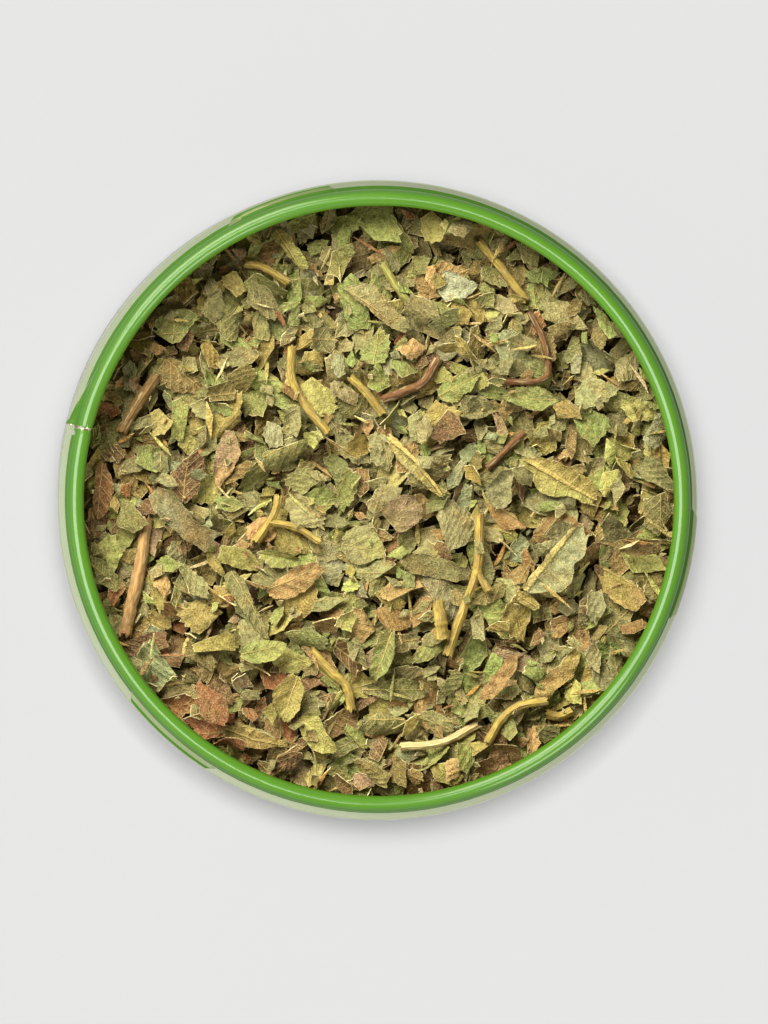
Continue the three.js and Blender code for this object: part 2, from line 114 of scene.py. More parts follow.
class Finish:
    def __init__(self, name, world=False):
        self.owner = (bpy.data.worlds if world else bpy.data.materials).new(name)
        self.owner.use_nodes = True
        self.tree = self.owner.node_tree
        self.tree.nodes.clear()

    def node(self, kind, settings=None, sockets=None, out=0):
        made = self.tree.nodes.new("ShaderNode" + kind)
        for key, value in (settings or {}).items():
            setattr(made, key, value)
        for key, value in (sockets or {}).items():
            if isinstance(value, Wire):
                self.tree.links.new(value.socket, made.inputs[key])
            else:
                made.inputs[key].default_value = paint(value) if isinstance(value, str) else value
        return Wire(self, made.outputs[out]) if len(made.outputs) else None

    def mix(self, share, a, b, blend="MIX"):
        settings = {"data_type": "RGBA", "blend_type": blend}
        return self.node("Mix", settings, {0: share, 6: a, 7: b}, out=2)

    def layers(self, colour, *rows):  # each row: how much, of which colour and, if not plainly mixed, how
        for share, *over in rows:
            colour = self.mix(share, colour, *over)
        return colour

    def between(self, value, low, high):  # 0 at low, 1 at high, smooth in between
        settings = {"interpolation_type": "SMOOTHSTEP"}
        return self.node("MapRange", settings, {0: value, 1: low, 2: high})

    def noise(self, place, scale, detail=3.0):
        return self.node("TexNoise", None, {"Vector": place, "Scale": scale, "Detail": detail})

    def parts(self, place):
        split = self.node("SeparateXYZ", None, {0: place})
        return [Wire(self, split.socket.node.outputs[i]) for i in range(3)]

    def bump(self, height, distance, strength=1.0):
        return self.node("Bump", None, {"Height": height, "Distance": distance, "Strength": strength})

    def surface(self, **sockets):
        named = {key.replace("_", " "): value for key, value in sockets.items()}
        shader = self.node("BsdfPrincipled", None, named)
        self.node("OutputMaterial", None, {0: shader})
        return self.owner


# Meshes

def inScene(name, data):
    thing = bpy.data.objects.new(name, data)
    bpy.context.scene.collection.objects.link(thing)
    return thing


def newPiece(name, points, faces, material, nodes=()):
    faces = np.asarray(faces)
    mesh = bpy.data.meshes.new(name)
    mesh.vertices.add(len(points))
    mesh.vertices.foreach_set("co", (np.asarray(points, dtype=np.float32) * mm).ravel())
    mesh.loops.add(faces.size)
    mesh.loops.foreach_set("vertex_index", faces.ravel().astype(np.int32))
    mesh.polygons.add(len(faces))
    mesh.polygons.foreach_set("loop_start", np.arange(len(faces), dtype=np.int32) * faces.shape[1])
    mesh.polygons.foreach_set("use_smooth", np.ones(len(faces), dtype=bool))
    mesh.update(calc_edges=True)
    mesh.materials.append(material)
    piece = inScene(name, mesh)
    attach(piece, "root")
    if nodes:
        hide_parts(*nodes)
    return piece


def turnedPoints(radius, height, turn):  # a profile turned round the tin's axis, one row of points for each turn
    turn = turn[:, None]
    return np.stack([radius * np.cos(turn), radius * np.sin(turn), height + 0 * radius * turn], -1)


def capEnds(piece, columns):  # closes the two open ends of a turned form
    form = bmesh.new()
    form.from_mesh(piece.data)
    corners = list(form.verts)
    for ring in (corners[::columns], corners[columns - 1::columns]):
        form.faces.new(ring)
    bmesh.ops.recalc_face_normals(form, faces=form.faces)
    form.to_mesh(piece.data)
    form.free()


def gridFaces(rows, columns, closeColumns):
    index = np.arange(rows * columns).reshape(rows, columns)
    after = np.roll(index, -1, 0)
    last = columns if closeColumns else columns - 1
    beside = np.roll(index, -1, 1)
    corner = np.roll(after, -1, 1)
    return np.stack([index, after, corner, beside], -1)[:, :last].reshape(-1, 4)


# The tin: body with its curl, lugs and seam

tinBody = {
    "neck": 34.0,
    "body": 35.2,
    "top": 79.99,
    "sheet": 0.3,
    "curl": 0.9,  # radius of the curl's section
    "curlEnd": 275,  # degrees
    "lugs": (-11.8, 108.2, 228.2),  # degrees, their middles
    "lugHalf": 10.75,
    "lugReach": 0.88,
    "lugHeight": 76.4,
    "lugRise": 0.7,
    "seam": 166.2,
    "earSpan": 10.5,
    "earReach": 1.1,
    "steps": 240,
}
wearAndPaintedLight = {  # where tinplate shows through the lacquer, partly as painted highlight on the lugs, and where the curl's green is painted darker as shade: heights, and distances from the axis or from the seam
    "lugs": (74.0, 78.2),
    "lugFrom": 34.15,
    "lugTo": 34.58,
    "shoulder": (70.75, 73.6),
    "shoulderFrom": 34.48,
    "inside": 33.9,
    "insideUnder": 78.6,
    "margin": 0.95,
    "cut": 0.16,
    "crest": (33.3, 33.9),  # painted shade: the green darkens from one radius to the other, over the curl's outer half that faces less light
}
tinEnd = {"radius": 36.4, "height": 3.0, "panel": 2.9, "sheet": 0.4, "fold": 0.15, "steps": 180}


def arc(middle, radius, start, end, count):
    angles = np.radians(np.linspace(start, end, count))
    return [(middle[0] + radius * math.cos(a), middle[1] + radius * math.sin(a)) for a in angles]


def easeBetween(value, low, high):
    share = np.clip((value - low) / (high - low), 0, 1)
    return share * share * (3 - 2 * share)


def lacquerFinish():
    finish = Finish("green lacquer")
    place = finish.node("TexCoord", out=3)
    x, y, z = finish.parts(place)
    radius = (x * x + y * y) ** 0.5 / mm
    height = z / mm
    seam = math.radians(tinBody["seam"])
    across = (x * -math.sin(seam) + y * math.cos(seam)) / mm  # distance from the seam's plane
    onSeamSide = (x * math.cos(seam) + y * math.sin(seam)) > 0.0
    waver = finish.noise(place, 900.0, 2.0) - 0.5
    notLeft, right = x > -15 * mm, x > 25 * mm  # the lugs' pale lines differ; on the right lug the pale line covers its whole top as a painted reflection
    lugLow, lugHigh = wearAndPaintedLight["lugs"]
    lugFrom = notLeft * 0.3 + wearAndPaintedLight["lugFrom"]
    lugTo = notLeft * 0.15 + right * 0.7 + wearAndPaintedLight["lugTo"] + waver * 0.08
    # painted highlight, in part: a pale, mostly matt band of tinplate on each lug's upper slope, where it would catch
    # the light
    lugLine = (radius > lugFrom) * (radius < lugTo) * (height < lugHigh) * (height > lugLow)
    shoulderLow, shoulderHigh = wearAndPaintedLight["shoulder"]
    shoulderFrom = (x + y) / mm * 0.0025 + wearAndPaintedLight["shoulderFrom"] + waver * 0.06
    shoulder = (height > shoulderLow + waver * 0.25) * (height < shoulderHigh) * (radius > shoulderFrom)
    inside = (radius < wearAndPaintedLight["inside"]) * (height < wearAndPaintedLight["insideUnder"])
    margin = (abs(across + waver * 0.3) < wearAndPaintedLight["margin"]) * onSeamSide * (height < lugLow)
    cutEdge = (abs(across + waver * 0.16) < wearAndPaintedLight["cut"]) * onSeamSide
    bare = finish.node("Clamp", None, {0: lugLine + shoulder + inside + margin + cutEdge})
    mottle = finish.noise(place, 120.0, 4.0)
    worn = finish.between(finish.noise(place, 2600.0, 2.0), 0.72, 0.8) * (height > 79.2) * 0.35
    beads = finish.between(finish.noise(place, 2100.0, 1.0), 0.5, 0.58)
    colour = finish.layers(
        finish.mix(mottle, "#4c841a", "#5b9120"),
        (worn, "#7fb558"),
        (finish.between(radius, *wearAndPaintedLight["crest"]) * 0.55, "#3a661a"),  # painted shade: darker green on the curl's outer half, outside the crest
        (bare, finish.mix(inside * 0.7, finish.mix(mottle, "#c3cda8", "#d1dab9"), "#9a8c5c")),
        # the lug lines toned toward olive; on the north lug (y over 20 mm) further, as painted shade
        (lugLine * ((y > 20 * mm) * 0.3 + 0.6), "#76844e"),
        (cutEdge * (height > lugLow) * 0.9, finish.mix(beads, "#a8a468", "#eef0dc")),
    )
    scratches = finish.noise(place, 5200.0, 2.0)
    return finish.surface(
        Base_Color=colour,
        Roughness=0.34 - bare * 0.15 + mottle * 0.04,
        Metallic=bare * (1 - lugLine * 0.7) * 0.9,
        Specular_IOR_Level=0.25,
        Coat_Weight=(1 - bare) * (finish.between(height, 79.5, 79.85) * 0.9 + 0.1),
        Coat_Roughness=0.12,
        Normal=finish.bump(scratches * 0.3 + mottle, 0.02 * mm, 0.35),
    )


def tinplateFinish():
    finish = Finish("bare tinplate")
    place = finish.node("TexCoord", out=3)
    x, y, z = finish.parts(place)
    rolled = finish.node("CombineXYZ", None, {0: x * 60.0, 1: y * 1400.0, 2: z * 300.0})
    lines = finish.noise(rolled, 1.0, 4.0)
    spangle = finish.noise(place, 320.0, 3.0)
    colour = finish.mix(lines, "#aeb0aa", "#cfd0ca")
    colour = finish.mix(finish.between(spangle, 0.55, 0.7) * 0.35, colour, "#8f918b")
    return finish.surface(
        Base_Color=colour,
        Metallic=0.85,
        Roughness=lines * 0.2 + 0.28,
        Normal=finish.bump(lines, 0.012 * mm, 0.4),
    )


def makeTinBody():
    t = tinBody
    inner = t["neck"] - t["sheet"]
    middle = (t["neck"] - t["curl"], t["top"] - t["curl"])
    outside = [(t["body"], 0.55), (t["body"], 4.0)]
    outside += [(t["body"], h) for h in np.linspace(8, 70.6, 12)]
    outside += arc((t["body"] - 0.5, 71.0), 0.5, 0, 62, 6)
    outside += arc((t["neck"] + 0.42, 72.62), 0.42, 235, 180, 6)
    outside += [(t["neck"], h) for h in np.linspace(72.9, middle[1] - 0.15, 40)]
    curl = arc(middle, t["curl"], 0, t["curlEnd"], 34)
    back = arc(middle, t["curl"] - t["sheet"], t["curlEnd"], 0, 18)
    inside = [(inner, h) for h in (78.4, 76.0, 73.4, 72.6)]
    inside += [(inner + 0.3, 72.05), (34.7, 71.55), (t["body"] - t["sheet"], 70.9)]
    inside += [(t["body"] - t["sheet"], h) for h in (50.0, 25.0, 0.55)]
    profile = np.array(outside + curl + back + inside)
    part = np.array(["o"] * len(outside) + ["c"] * len(curl) + ["b"] * (len(back) + len(inside)))
    near = np.array([0.06, 0.12, 0.18, 0.26, 0.4, 0.6, 0.9, 1.1])
    around = np.arange(t["steps"]) * 360 / t["steps"]
    around = around[np.abs(around - t["seam"]) > 1.2]
    lugEnds = [m + s * (t["lugHalf"] + d) for m in t["lugs"] for s in (-1, 1) for d in (-0.5, 0.0)]
    around = np.unique(np.round(np.concatenate([
        around, t["seam"] + near, t["seam"] - near, [t["seam"]], np.mod(lugEnds, 360)]), 4))
    radius = np.tile(profile[:, 0], (len(around), 1))
    height = np.tile(profile[:, 1], (len(around), 1))
    angle = around[:, None]
    outer = (part == "o")[None] & (height > 72.95)
    for lugMiddle in t["lugs"]:
        off = (angle - lugMiddle + 180) % 360 - 180
        ends = easeBetween(t["lugHalf"] - np.abs(off), 0, 1.1)
        level = t["lugHeight"] + t["lugRise"] * off / (2 * t["lugHalf"])
        section = 1 - easeBetween(np.abs(height - level), 0.45, 1.05)
        radius = np.where(outer, radius + t["lugReach"] * ends * section, radius)
    fromSeam = (angle - t["seam"] + 180) % 360 - 180
    ear = np.clip(1 + fromSeam / t["earSpan"], 0, 1) * (fromSeam <= 0.0)
    earSection = 1 - easeBetween(np.abs(height - 77.1), 1.0, 1.4)
    radius = np.where(outer, np.maximum(radius, t["neck"] + t["earReach"] * ear * earSection), radius)
    weld = 0.14 * (1 - easeBetween(np.abs(fromSeam), 0.75, 0.95))
    welded = (part == "o")[None] & (height > 3.5)
    radius = np.where(welded, radius + weld, radius)
    sunk = 0.06 * np.exp(-(fromSeam / 0.2) ** 2) + 0.08 * np.exp(-(fromSeam / 0.9) ** 2)
    onCurl = (part == "c")[None]
    keep = np.where(onCurl, 1 - sunk / t["curl"], 1)
    radius = middle[0] + (radius - middle[0]) * keep
    height = middle[1] + (height - middle[1]) * keep
    points = turnedPoints(radius, height, np.radians(around))
    faces = gridFaces(len(around), len(profile), True)
    newPiece("tin_shell", points.reshape(-1, 3), faces, lacquerFinish(), ["tin_body"])
    print("tin body:", len(faces), "faces")


def makeTinEnd():
    e = tinEnd
    wallInside = tinBody["body"] - tinBody["sheet"] - e["fold"]
    wallOutside = tinBody["body"] + e["fold"]
    under = e["panel"] - e["sheet"]
    profile = [(0.4, under), (10, under), (21.6, under)]
    profile += [(22.2, under - 0.08), (23.2, under - 0.4), (26.8, under - 0.4), (27.8, under - 0.08), (28.4, under)]
    profile += [(32.5, under), (33.9, under - 0.05)]
    profile += arc((wallInside - e["sheet"] + 0.3, 0.32), 0.32, 180, 270, 6)
    profile += arc((e["radius"] - 0.5, 0.5), 0.5, 270, 360, 7)
    profile += arc((e["radius"] - 0.4, e["height"] - 0.4), 0.4, 0, 90, 6)
    profile += [(wallOutside, e["height"]), (wallOutside, e["sheet"] + 0.06), (wallOutside - 0.05, e["sheet"])]
    profile += [(wallInside + 0.05, e["sheet"]), (wallInside, e["sheet"] + 0.06), (wallInside, e["panel"] - 0.1)]
    profile += [(wallInside - 0.1, e["panel"]), (20, e["panel"]), (0.4, e["panel"])]
    turn = np.arange(e["steps"]) * turnOf / e["steps"]
    points = turnedPoints(*np.array(profile).T, turn).reshape(-1, 3)
    faces = gridFaces(len(turn), len(profile), False)
    piece = newPiece("tin_base", points, faces, tinplateFinish(), ["tin_end"])
    capEnds(piece, len(profile))
    print("tin end done")


makeTinBody()
makeTinEnd()


# Leaf and stem finishes. Each point of a leaf carries its tone and how near the leaf's edge it lies. Its UV is
# the distance along the midrib in millimetres, and the distance from it, stretched where the rib is thin.

def leafFinish(name, ribWidth, veinStep, ribShow, ribTone):
    finish = Finish(name)
    place = finish.node("TexCoord", out=3)
    onLeaf = finish.node("UVMap", {"uv_map": "leafPlace"})
    along, across, _ = finish.parts(onLeaf)
    tone = finish.node("Attribute", {"attribute_name": "tone"})
    edge = finish.node("Attribute", {"attribute_name": "edge"}, out=2)
    waver = finish.noise(place, 700.0, 2.0) - 0.5
    fromRib = abs(across + waver * 0.12)
    rib = 1 - finish.between(fromRib, ribWidth * 0.45, ribWidth)
    slant = (along + waver * 0.35 - fromRib * 0.75) / veinStep
    fromVein = abs(finish.node("Math", {"operation": "FRACT"}, {0: slant}) - 0.5) * veinStep
    vein = (1 - finish.between(fromVein, 0.02, 0.075)) * (1 - finish.between(fromRib, 1.8, 3.6))
    pleat = finish.between(fromVein, 0.0, veinStep * 0.5)
    cells = finish.node("TexVoronoi", {"feature": "DISTANCE_TO_EDGE"}, {"Vector": place, "Scale": 2600.0})
    net = 1 - finish.between(cells, 0.02, 0.16)
    blotch = finish.noise(place, 1500.0, 4.0)
    broad = finish.noise(place, 420.0, 3.0)
    grain = finish.noise(place, 5200.0, 3.0)
    # painted highlight, in part: leaf margins paler, partly the paler edge vein and partly the light caught by curled
    # edges
    margin = finish.between(edge, 0.55, 1.0) * (0.12 + finish.between(broad, 0.46, 0.62) * 0.65)
    colour = finish.layers(
        tone,
        (finish.between(blotch, 0.38, 0.7) * 0.52, "#735a33", "MULTIPLY"),
        (finish.between(broad, 0.5, 0.75) * 0.28, "#9c7a38"),
        (finish.between(grain, 0.5, 0.68) * 0.26, "#cdbf80"),
        (finish.between(1 - grain, 0.5, 0.68) * 0.34, "#7d6534", "MULTIPLY"),
        (net * 0.14, "#b8a862"),
        # painted shade: tissue darker towards the middle between veins, where the pleats sink
        (pleat * 0.08, "#6a5c34", "MULTIPLY"),
        (vein * 0.6, "#c8b672"),
        (rib * ribShow, ribTone),
        (margin, "#e0d498"),
    )
    height = rib * 0.9 + vein * 0.5 - pleat * 0.3 + net * 0.3 - blotch * 0.7 + grain * 0.45
    return finish.surface(
        Base_Color=colour,
        Roughness=0.86 - rib * 0.2 - grain * 0.1,
        Specular_IOR_Level=0.25,
        Normal=finish.bump(height, 0.2 * mm, 1.0),
    )


def stemFinish():
    finish = Finish("dried stem")
    place = finish.node("TexCoord", out=3)
    onStem = finish.node("UVMap", {"uv_map": "leafPlace"})
    along, around, _ = finish.parts(onStem)
    tone = finish.node("Attribute", {"attribute_name": "tone"})
    fibre = finish.node("CombineXYZ", None, {0: along * 0.6, 1: around * 9.0})
    threads = finish.noise(fibre, 1.0, 4.0)
    blotch = finish.noise(place, 500.0, 4.0)
    colour = finish.layers(
        tone,
        (finish.between(threads, 0.35, 0.6) * 0.6, "#80663a", "MULTIPLY"),
        (finish.between(blotch, 0.52, 0.72) * 0.35, "#8a6430"),
        (finish.between(blotch, 0.3, 0.45) * 0.25, "#8f9048", "MULTIPLY"),
        (finish.between(threads, 0.52, 0.68) * 0.35, "#d8c890"),
    )
    return finish.surface(
        Base_Color=colour,
        Roughness=0.75 + threads * 0.15,
        Specular_IOR_Level=0.25,
        Normal=finish.bump(threads, 0.16 * mm, 1.0),
    )


tones = {
    "grey": "#8a8755", "greyDark": "#6f6c40", "green": "#7f8a45", "moss": "#6d6f3a", "lime": "#a1a052",
    "yellow": "#ab9a54", "olive": "#92823f", "oliveDark": "#716232", "brown": "#87693a", "umber": "#64472a",
    "tan": "#b08c54", "rust": "#8a5430", "rose": "#8f7655", "ochre": "#b07c34", "straw": "#b89e50",
    "cream": "#d9c68c", "sage": "#919569", "slate": "#7c7953", "pale": "#a6aa84",
    "rustDark": "#75512f", "stalk": "#b69f4e", "stalkWarm": "#be9760",
}
toneOf = {name: np.array(paint(code)) for name, code in tones.items()}


def dressLeaf(piece, uv, tone, edge):
    mesh = piece.data
    layer = mesh.uv_layers.new(name="leafPlace")
    corner = np.zeros(len(mesh.loops), dtype=np.int32)
    mesh.loops.foreach_get("vertex_index", corner)
    layer.data.foreach_set("uv", uv[corner].astype(np.float32).ravel())
    colours = mesh.attributes.new("tone", "FLOAT_COLOR", "POINT")
    colours.data.foreach_set("color", tone.astype(np.float32).ravel())
    margins = mesh.attributes.new("edge", "FLOAT", "POINT")
    margins.data.foreach_set("value", edge.astype(np.float32).ravel())
    mesh.set_sharp_from_angle(angle=math.radians(50))


# Heights of what lies in the tin, on a square grid

class Heights:
    step = 0.25
    reach = 35.0

    def __init__(self, value):
        self.size = int(2 * self.reach / self.step) + 1
        self.map = np.full((self.size, self.size), float(value))

    def cells(self, points):
        index = np.rint((points[..., :2] + self.reach) / self.step).astype(int)
        index = np.clip(index, 0, self.size - 1)
        return index[..., 0], index[..., 1]

    def at(self, points):
        return self.map[self.cells(points)]

    def raiseTo(self, points):
        np.maximum.at(self.map, self.cells(points), points[..., 2])

    def lowerTo(self, points):
        np.minimum.at(self.map, self.cells(points), points[..., 2])


def blurred(field, passes):
    for _ in range(passes):
        for axis in (0, 1):
            field = (np.roll(field, 1, axis) + 2 * field + np.roll(field, -1, axis)) / 4
    return field


def bedSurface():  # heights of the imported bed, from above
    bed = frame["nodes"]["mint_bed"]
    bed.data.calc_loop_triangles()
    corners = [v.co[:] for v in bed.data.vertices]
    tree = BVHTree.FromPolygons(corners, [t.vertices[:] for t in bed.data.loop_triangles])
    heights = Heights(heap["edgeLevel"])
    down = Vector((0, 0, -1))
    for i in range(heights.size):
        for j in range(heights.size):
            x, y = (np.array([i, j]) * heights.step - heights.reach)
            if math.hypot(x, y) < heap["coreReach"]:
                hit = tree.ray_cast(Vector((x * mm, y * mm, 0.1)), down)[0]
                if hit:
                    heights.map[i, j] = hit.z / mm
    return heights


# Closed leaf flakes in batches: a centre, rings around it, the same again underneath

def flakeFaces(points, rings):
    count = 1 + points * rings
    i = np.arange(points)
    j = (i + 1) % points
    faces = [np.stack([np.zeros(points, int), 1 + i, 1 + j], -1)]
    for r in range(rings - 1):
        a, b = 1 + r * points, 1 + (r + 1) * points
        faces += [np.stack([a + i, b + i, b + j], -1), np.stack([a + i, b + j, a + j], -1)]
    top = np.concatenate(faces)
    rim = 1 + (rings - 1) * points
    below = rim + count
    sides = [np.stack([rim + i, below + i, below + j], -1), np.stack([rim + i, below + j, rim + j], -1)]
    return np.concatenate([top, top[:, ::-1] + count] + sides), top


def sampling(top, count, cuts):  # weights of evenly spread points on the upper faces
    shares = [(a / cuts, b / cuts, (cuts - a - b) / cuts) for a in range(cuts + 1) for b in range(cuts + 1 - a)]
    weights = np.zeros((len(top) * len(shares), count))
    row = 0
    for face in top:
        for share in shares:
            weights[row, face] = share
            row += 1
    return weights


leafKinds = {
    "large": {
        "long": (4.2, 7.2), "slim": (1.3, 2.5), "corners": 5, "perEdge": 6, "rings": (0.3, 0.62, 0.93, 1),
        "tilt": 10, "bend": 0.075, "thick": 0.16, "tooth": 0.06, "cuts": 3, "ribbed": 0.65,
    },
    "middle": {
        "long": (2.6, 4.8), "slim": (1.15, 2.5), "corners": 5, "perEdge": 4, "rings": (0.45, 0.91, 1),
        "tilt": 14, "bend": 0.12, "thick": 0.14, "tooth": 0.06, "cuts": 2, "ribbed": 0.4,
    },
    "small": {
        "long": (1.3, 2.7), "slim": (1.2, 2.6), "corners": 4, "perEdge": 3, "rings": (0.5, 0.86, 1),
        "tilt": 20, "bend": 0.22, "thick": 0.13, "tooth": 0.05, "cuts": 2, "ribbed": 0.12,
    },
    "strip": {
        "long": (1.6, 4.8), "slim": (5, 13), "corners": 4, "perEdge": 4, "rings": (0.5, 0.8, 1),
        "tilt": 15, "bend": 0.08, "thick": 0.2, "tooth": 0.03, "cuts": 2, "ribbed": 0,
    },
    "crumb": {
        "long": (0.5, 1.3), "slim": (1.2, 3), "corners": 4, "perEdge": 1, "rings": (0.6, 1),
        "tilt": 28, "bend": 0.3, "thick": 0.14, "tooth": 0, "cuts": 1, "ribbed": 0,
    },
}
leafTones = {
    "grey": 20, "greyDark": 12, "green": 19, "moss": 12, "lime": 7, "yellow": 1.5, "olive": 11, "oliveDark": 8,
    "brown": 6, "umber": 3, "tan": 3, "rust": 0.5, "rose": 1.5, "sage": 6, "slate": 3,
}
stripTones = {"straw": 8, "cream": 3, "yellow": 6, "lime": 4, "ochre": 4, "tan": 3, "olive": 5, "rust": 0.6}
heap = {
    "seed": 7,
    "depth": 2.5,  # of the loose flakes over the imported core
    "reach": 33.35,
    "coreReach": 33.2,
    "edgeLevel": 72.0,  # height of the bed beyond its reach
    "open": 79.0,  # height that nothing in the tin passes
    "rise": 1.6,  # of the heap under a big piece, over the bed
    "layers": {
        "low": {"middle": 500, "small": 230, "large": 60},
        "middle": {"large": 100, "middle": 380, "small": 200, "strip": 60, "crumb": 60},
        "upper": {"large": 120, "middle": 330, "small": 180, "strip": 90, "crumb": 60},
        "top": {"large": 130, "middle": 240, "small": 190, "strip": 90, "crumb": 90},
    },
    "paintedDepthShade": {"low": 0.7, "middle": 0.35},  # painted shade and bounce light: deep flakes' tones are mixed toward umber, for the dim light thrown back by the brown ones round them
    "over": {"small": 60, "strip": 35, "crumb": 80, "middle": 14},
}
laying = {
    "inset": 0.42,  # share of a flake's length that its middle keeps from the wall
    "follow": 0.75,  # share of the ground's slope that a flake takes on
    "steepest": 0.45,
    "sway": 0.7,
    "clear": 0.93,  # share of a flake's points that lie over the ground
    "gap": 0.03,
    "sink": 2.4,  # a flake that would have to lie deeper than this under its place is left out
}


def flakeBatch(kind, count, random):
    k = leafKinds[kind]
    corners, perEdge = k["corners"], k["perEdge"]
    angle = (np.arange(corners) + random.uniform(-0.3, 0.3, (count, corners))) / corners * turnOf
    reach = random.uniform(0.74, 1.12, (count, corners))
    corner = np.stack([np.cos(angle) * reach, np.sin(angle) * reach], -1)[:, :, None]
    share = (np.arange(perEdge) / perEdge)[:, None]
    outline = corner * (1 - share) + np.roll(corner, -1, 1) * share
    rough = random.normal(0, 0.045, (count, corners, perEdge, 1))
    toothed = (random.random((count, corners, 1, 1)) < 0.4) * k["tooth"] * (-1.0) ** np.arange(perEdge)[:, None]
    outline = (outline * (1 + (rough + toothed) * (share > 0))).reshape(count, -1, 2)
    long = random.uniform(*k["long"], count)
    slim = random.uniform(*k["slim"], count)
    size = np.stack([long, long / slim], -1)[:, None] / 2
    outline = outline * size
    rings = np.array(k["rings"])[:, None, None]
    flat = (outline[:, None] * rings).reshape(count, -1, 2)
    flat = np.concatenate([np.zeros((count, 1, 2)), flat], 1)
    x, y = flat[..., 0], flat[..., 1]
    wide = size[:, :, 1] * 2
    one = lambda low, high: random.uniform(low, high, (count, 1))
    ribAt = np.where(random.random((count, 1)) < k["ribbed"], one(-0.42, 0.42), one(1.2, 3)) * wide
    fold = one(-0.75, 0.75) * (random.random((count, 1)) < 0.6)
    bend = k["bend"] * random.normal(0, 1.3, (4, count, 1))
    ripple = one(0, 0.08) * wide * np.sin(x * one(1.2, 3.2) + one(0, 6)) * np.sin(y * one(1.2, 3.2) + one(0, 6))
    z = fold * np.abs(y - ribAt * 0.5) + bend[0] * x * x * 0.55 + bend[1] * y * y * 1.4 + bend[2] * x * y + ripple
    z = z - z.mean(1, keepdims=True)
    thick = k["thick"] * random.uniform(0.8, 1.25, (count, 1))
    rib = np.clip(1 - np.abs(y - ribAt) / 0.22, 0, 1) * 0.07
    top = np.stack([x, y, z + thick / 2 + rib], -1)
    under = np.stack([x, y, z - thick / 2], -1)
    uv = np.stack([x + one(0, 40), (y - ribAt) * one(0.9, 2.4)], -1)
    ringEdge = np.repeat(np.where(np.array(k["rings"]) == 1, 1.0, 0.0), corners * perEdge)
    edge = np.tile(np.concatenate([[0], ringEdge]), (count, 1))
    faces, topFaces = flakeFaces(corners * perEdge, len(k["rings"]))
    weights = sampling(topFaces, top.shape[1], k["cuts"])
    return {"top": top, "under": under, "edge": edge, "uv": uv, "faces": faces, "weights": weights, "long": long}


def leaning(slopeX, slopeY):  # rotation that lays a level flake on a slope
    normal = np.array([-slopeX, -slopeY, 1.0])
    normal /= np.linalg.norm(normal)
    side = np.cross([0.0, 1.0, 0.0], normal)
    side /= np.linalg.norm(side)
    return np.stack([side, np.cross(normal, side), normal], 1)


def spin(angle):
    c, s = math.cos(angle), math.sin(angle)
    return np.array([[c, -s, 0], [s, c, 0], [0, 0, 1.0]])


def toneFor(kind, x, y, random):
    chances = dict(stripTones if kind == "strip" else leafTones)
    if kind == "crumb" and random.random() < 0.3:
        chances = dict(stripTones)
    lowLeft = math.exp(-((x + 17) ** 2 + (y + 20) ** 2) / 60)
    leftEdge = math.exp(-(x + 31) ** 2 / 14)
    low = math.exp(-(y + 30) ** 2 / 40)
    right = math.exp(-((x - 20) ** 2 + (y + 12) ** 2) / 160)
    for name, more in (("rust", (26, 11, 3, 0)), ("umber", (22, 16, 9, 4)), ("brown", (14, 0, 9, 7))):
        for amount, near in zip(more, (lowLeft, leftEdge, low, right)):
            chances[name] = chances.get(name, 0) + amount * near
    names = list(chances)
    odds = np.array([chances[n] for n in names])
    tone = toneOf[names[random.choice(len(names), p=odds / odds.sum())]].copy()
    tone[:3] *= random.uniform(0.86, 1.14)
    tone[:3] *= random.uniform(0.93, 1.07, 3)
    return np.clip(tone, 0, 1)


class Pile:  # flakes laid so far, kept for one mesh
    def __init__(self):
        self.points, self.faces, self.uv, self.tone, self.edge = [], [], [], [], []
        self.count = 0

    def add(self, top, under, faces, uv, tone, edge):
        self.points += [top, under]
        self.faces.append(faces + self.count)
        self.uv += [uv, uv]
        self.tone.append(np.tile(tone, (2 * len(top), 1)))
        self.edge += [edge, edge]
        self.count += 2 * len(top)

    def piece(self, name, material):
        faces = np.concatenate(self.faces)
        piece = newPiece(name, np.concatenate(self.points), faces, material)
        dressLeaf(piece, np.concatenate(self.uv), np.concatenate(self.tone), np.concatenate(self.edge))
        print(name + ":", len(faces), "triangles")


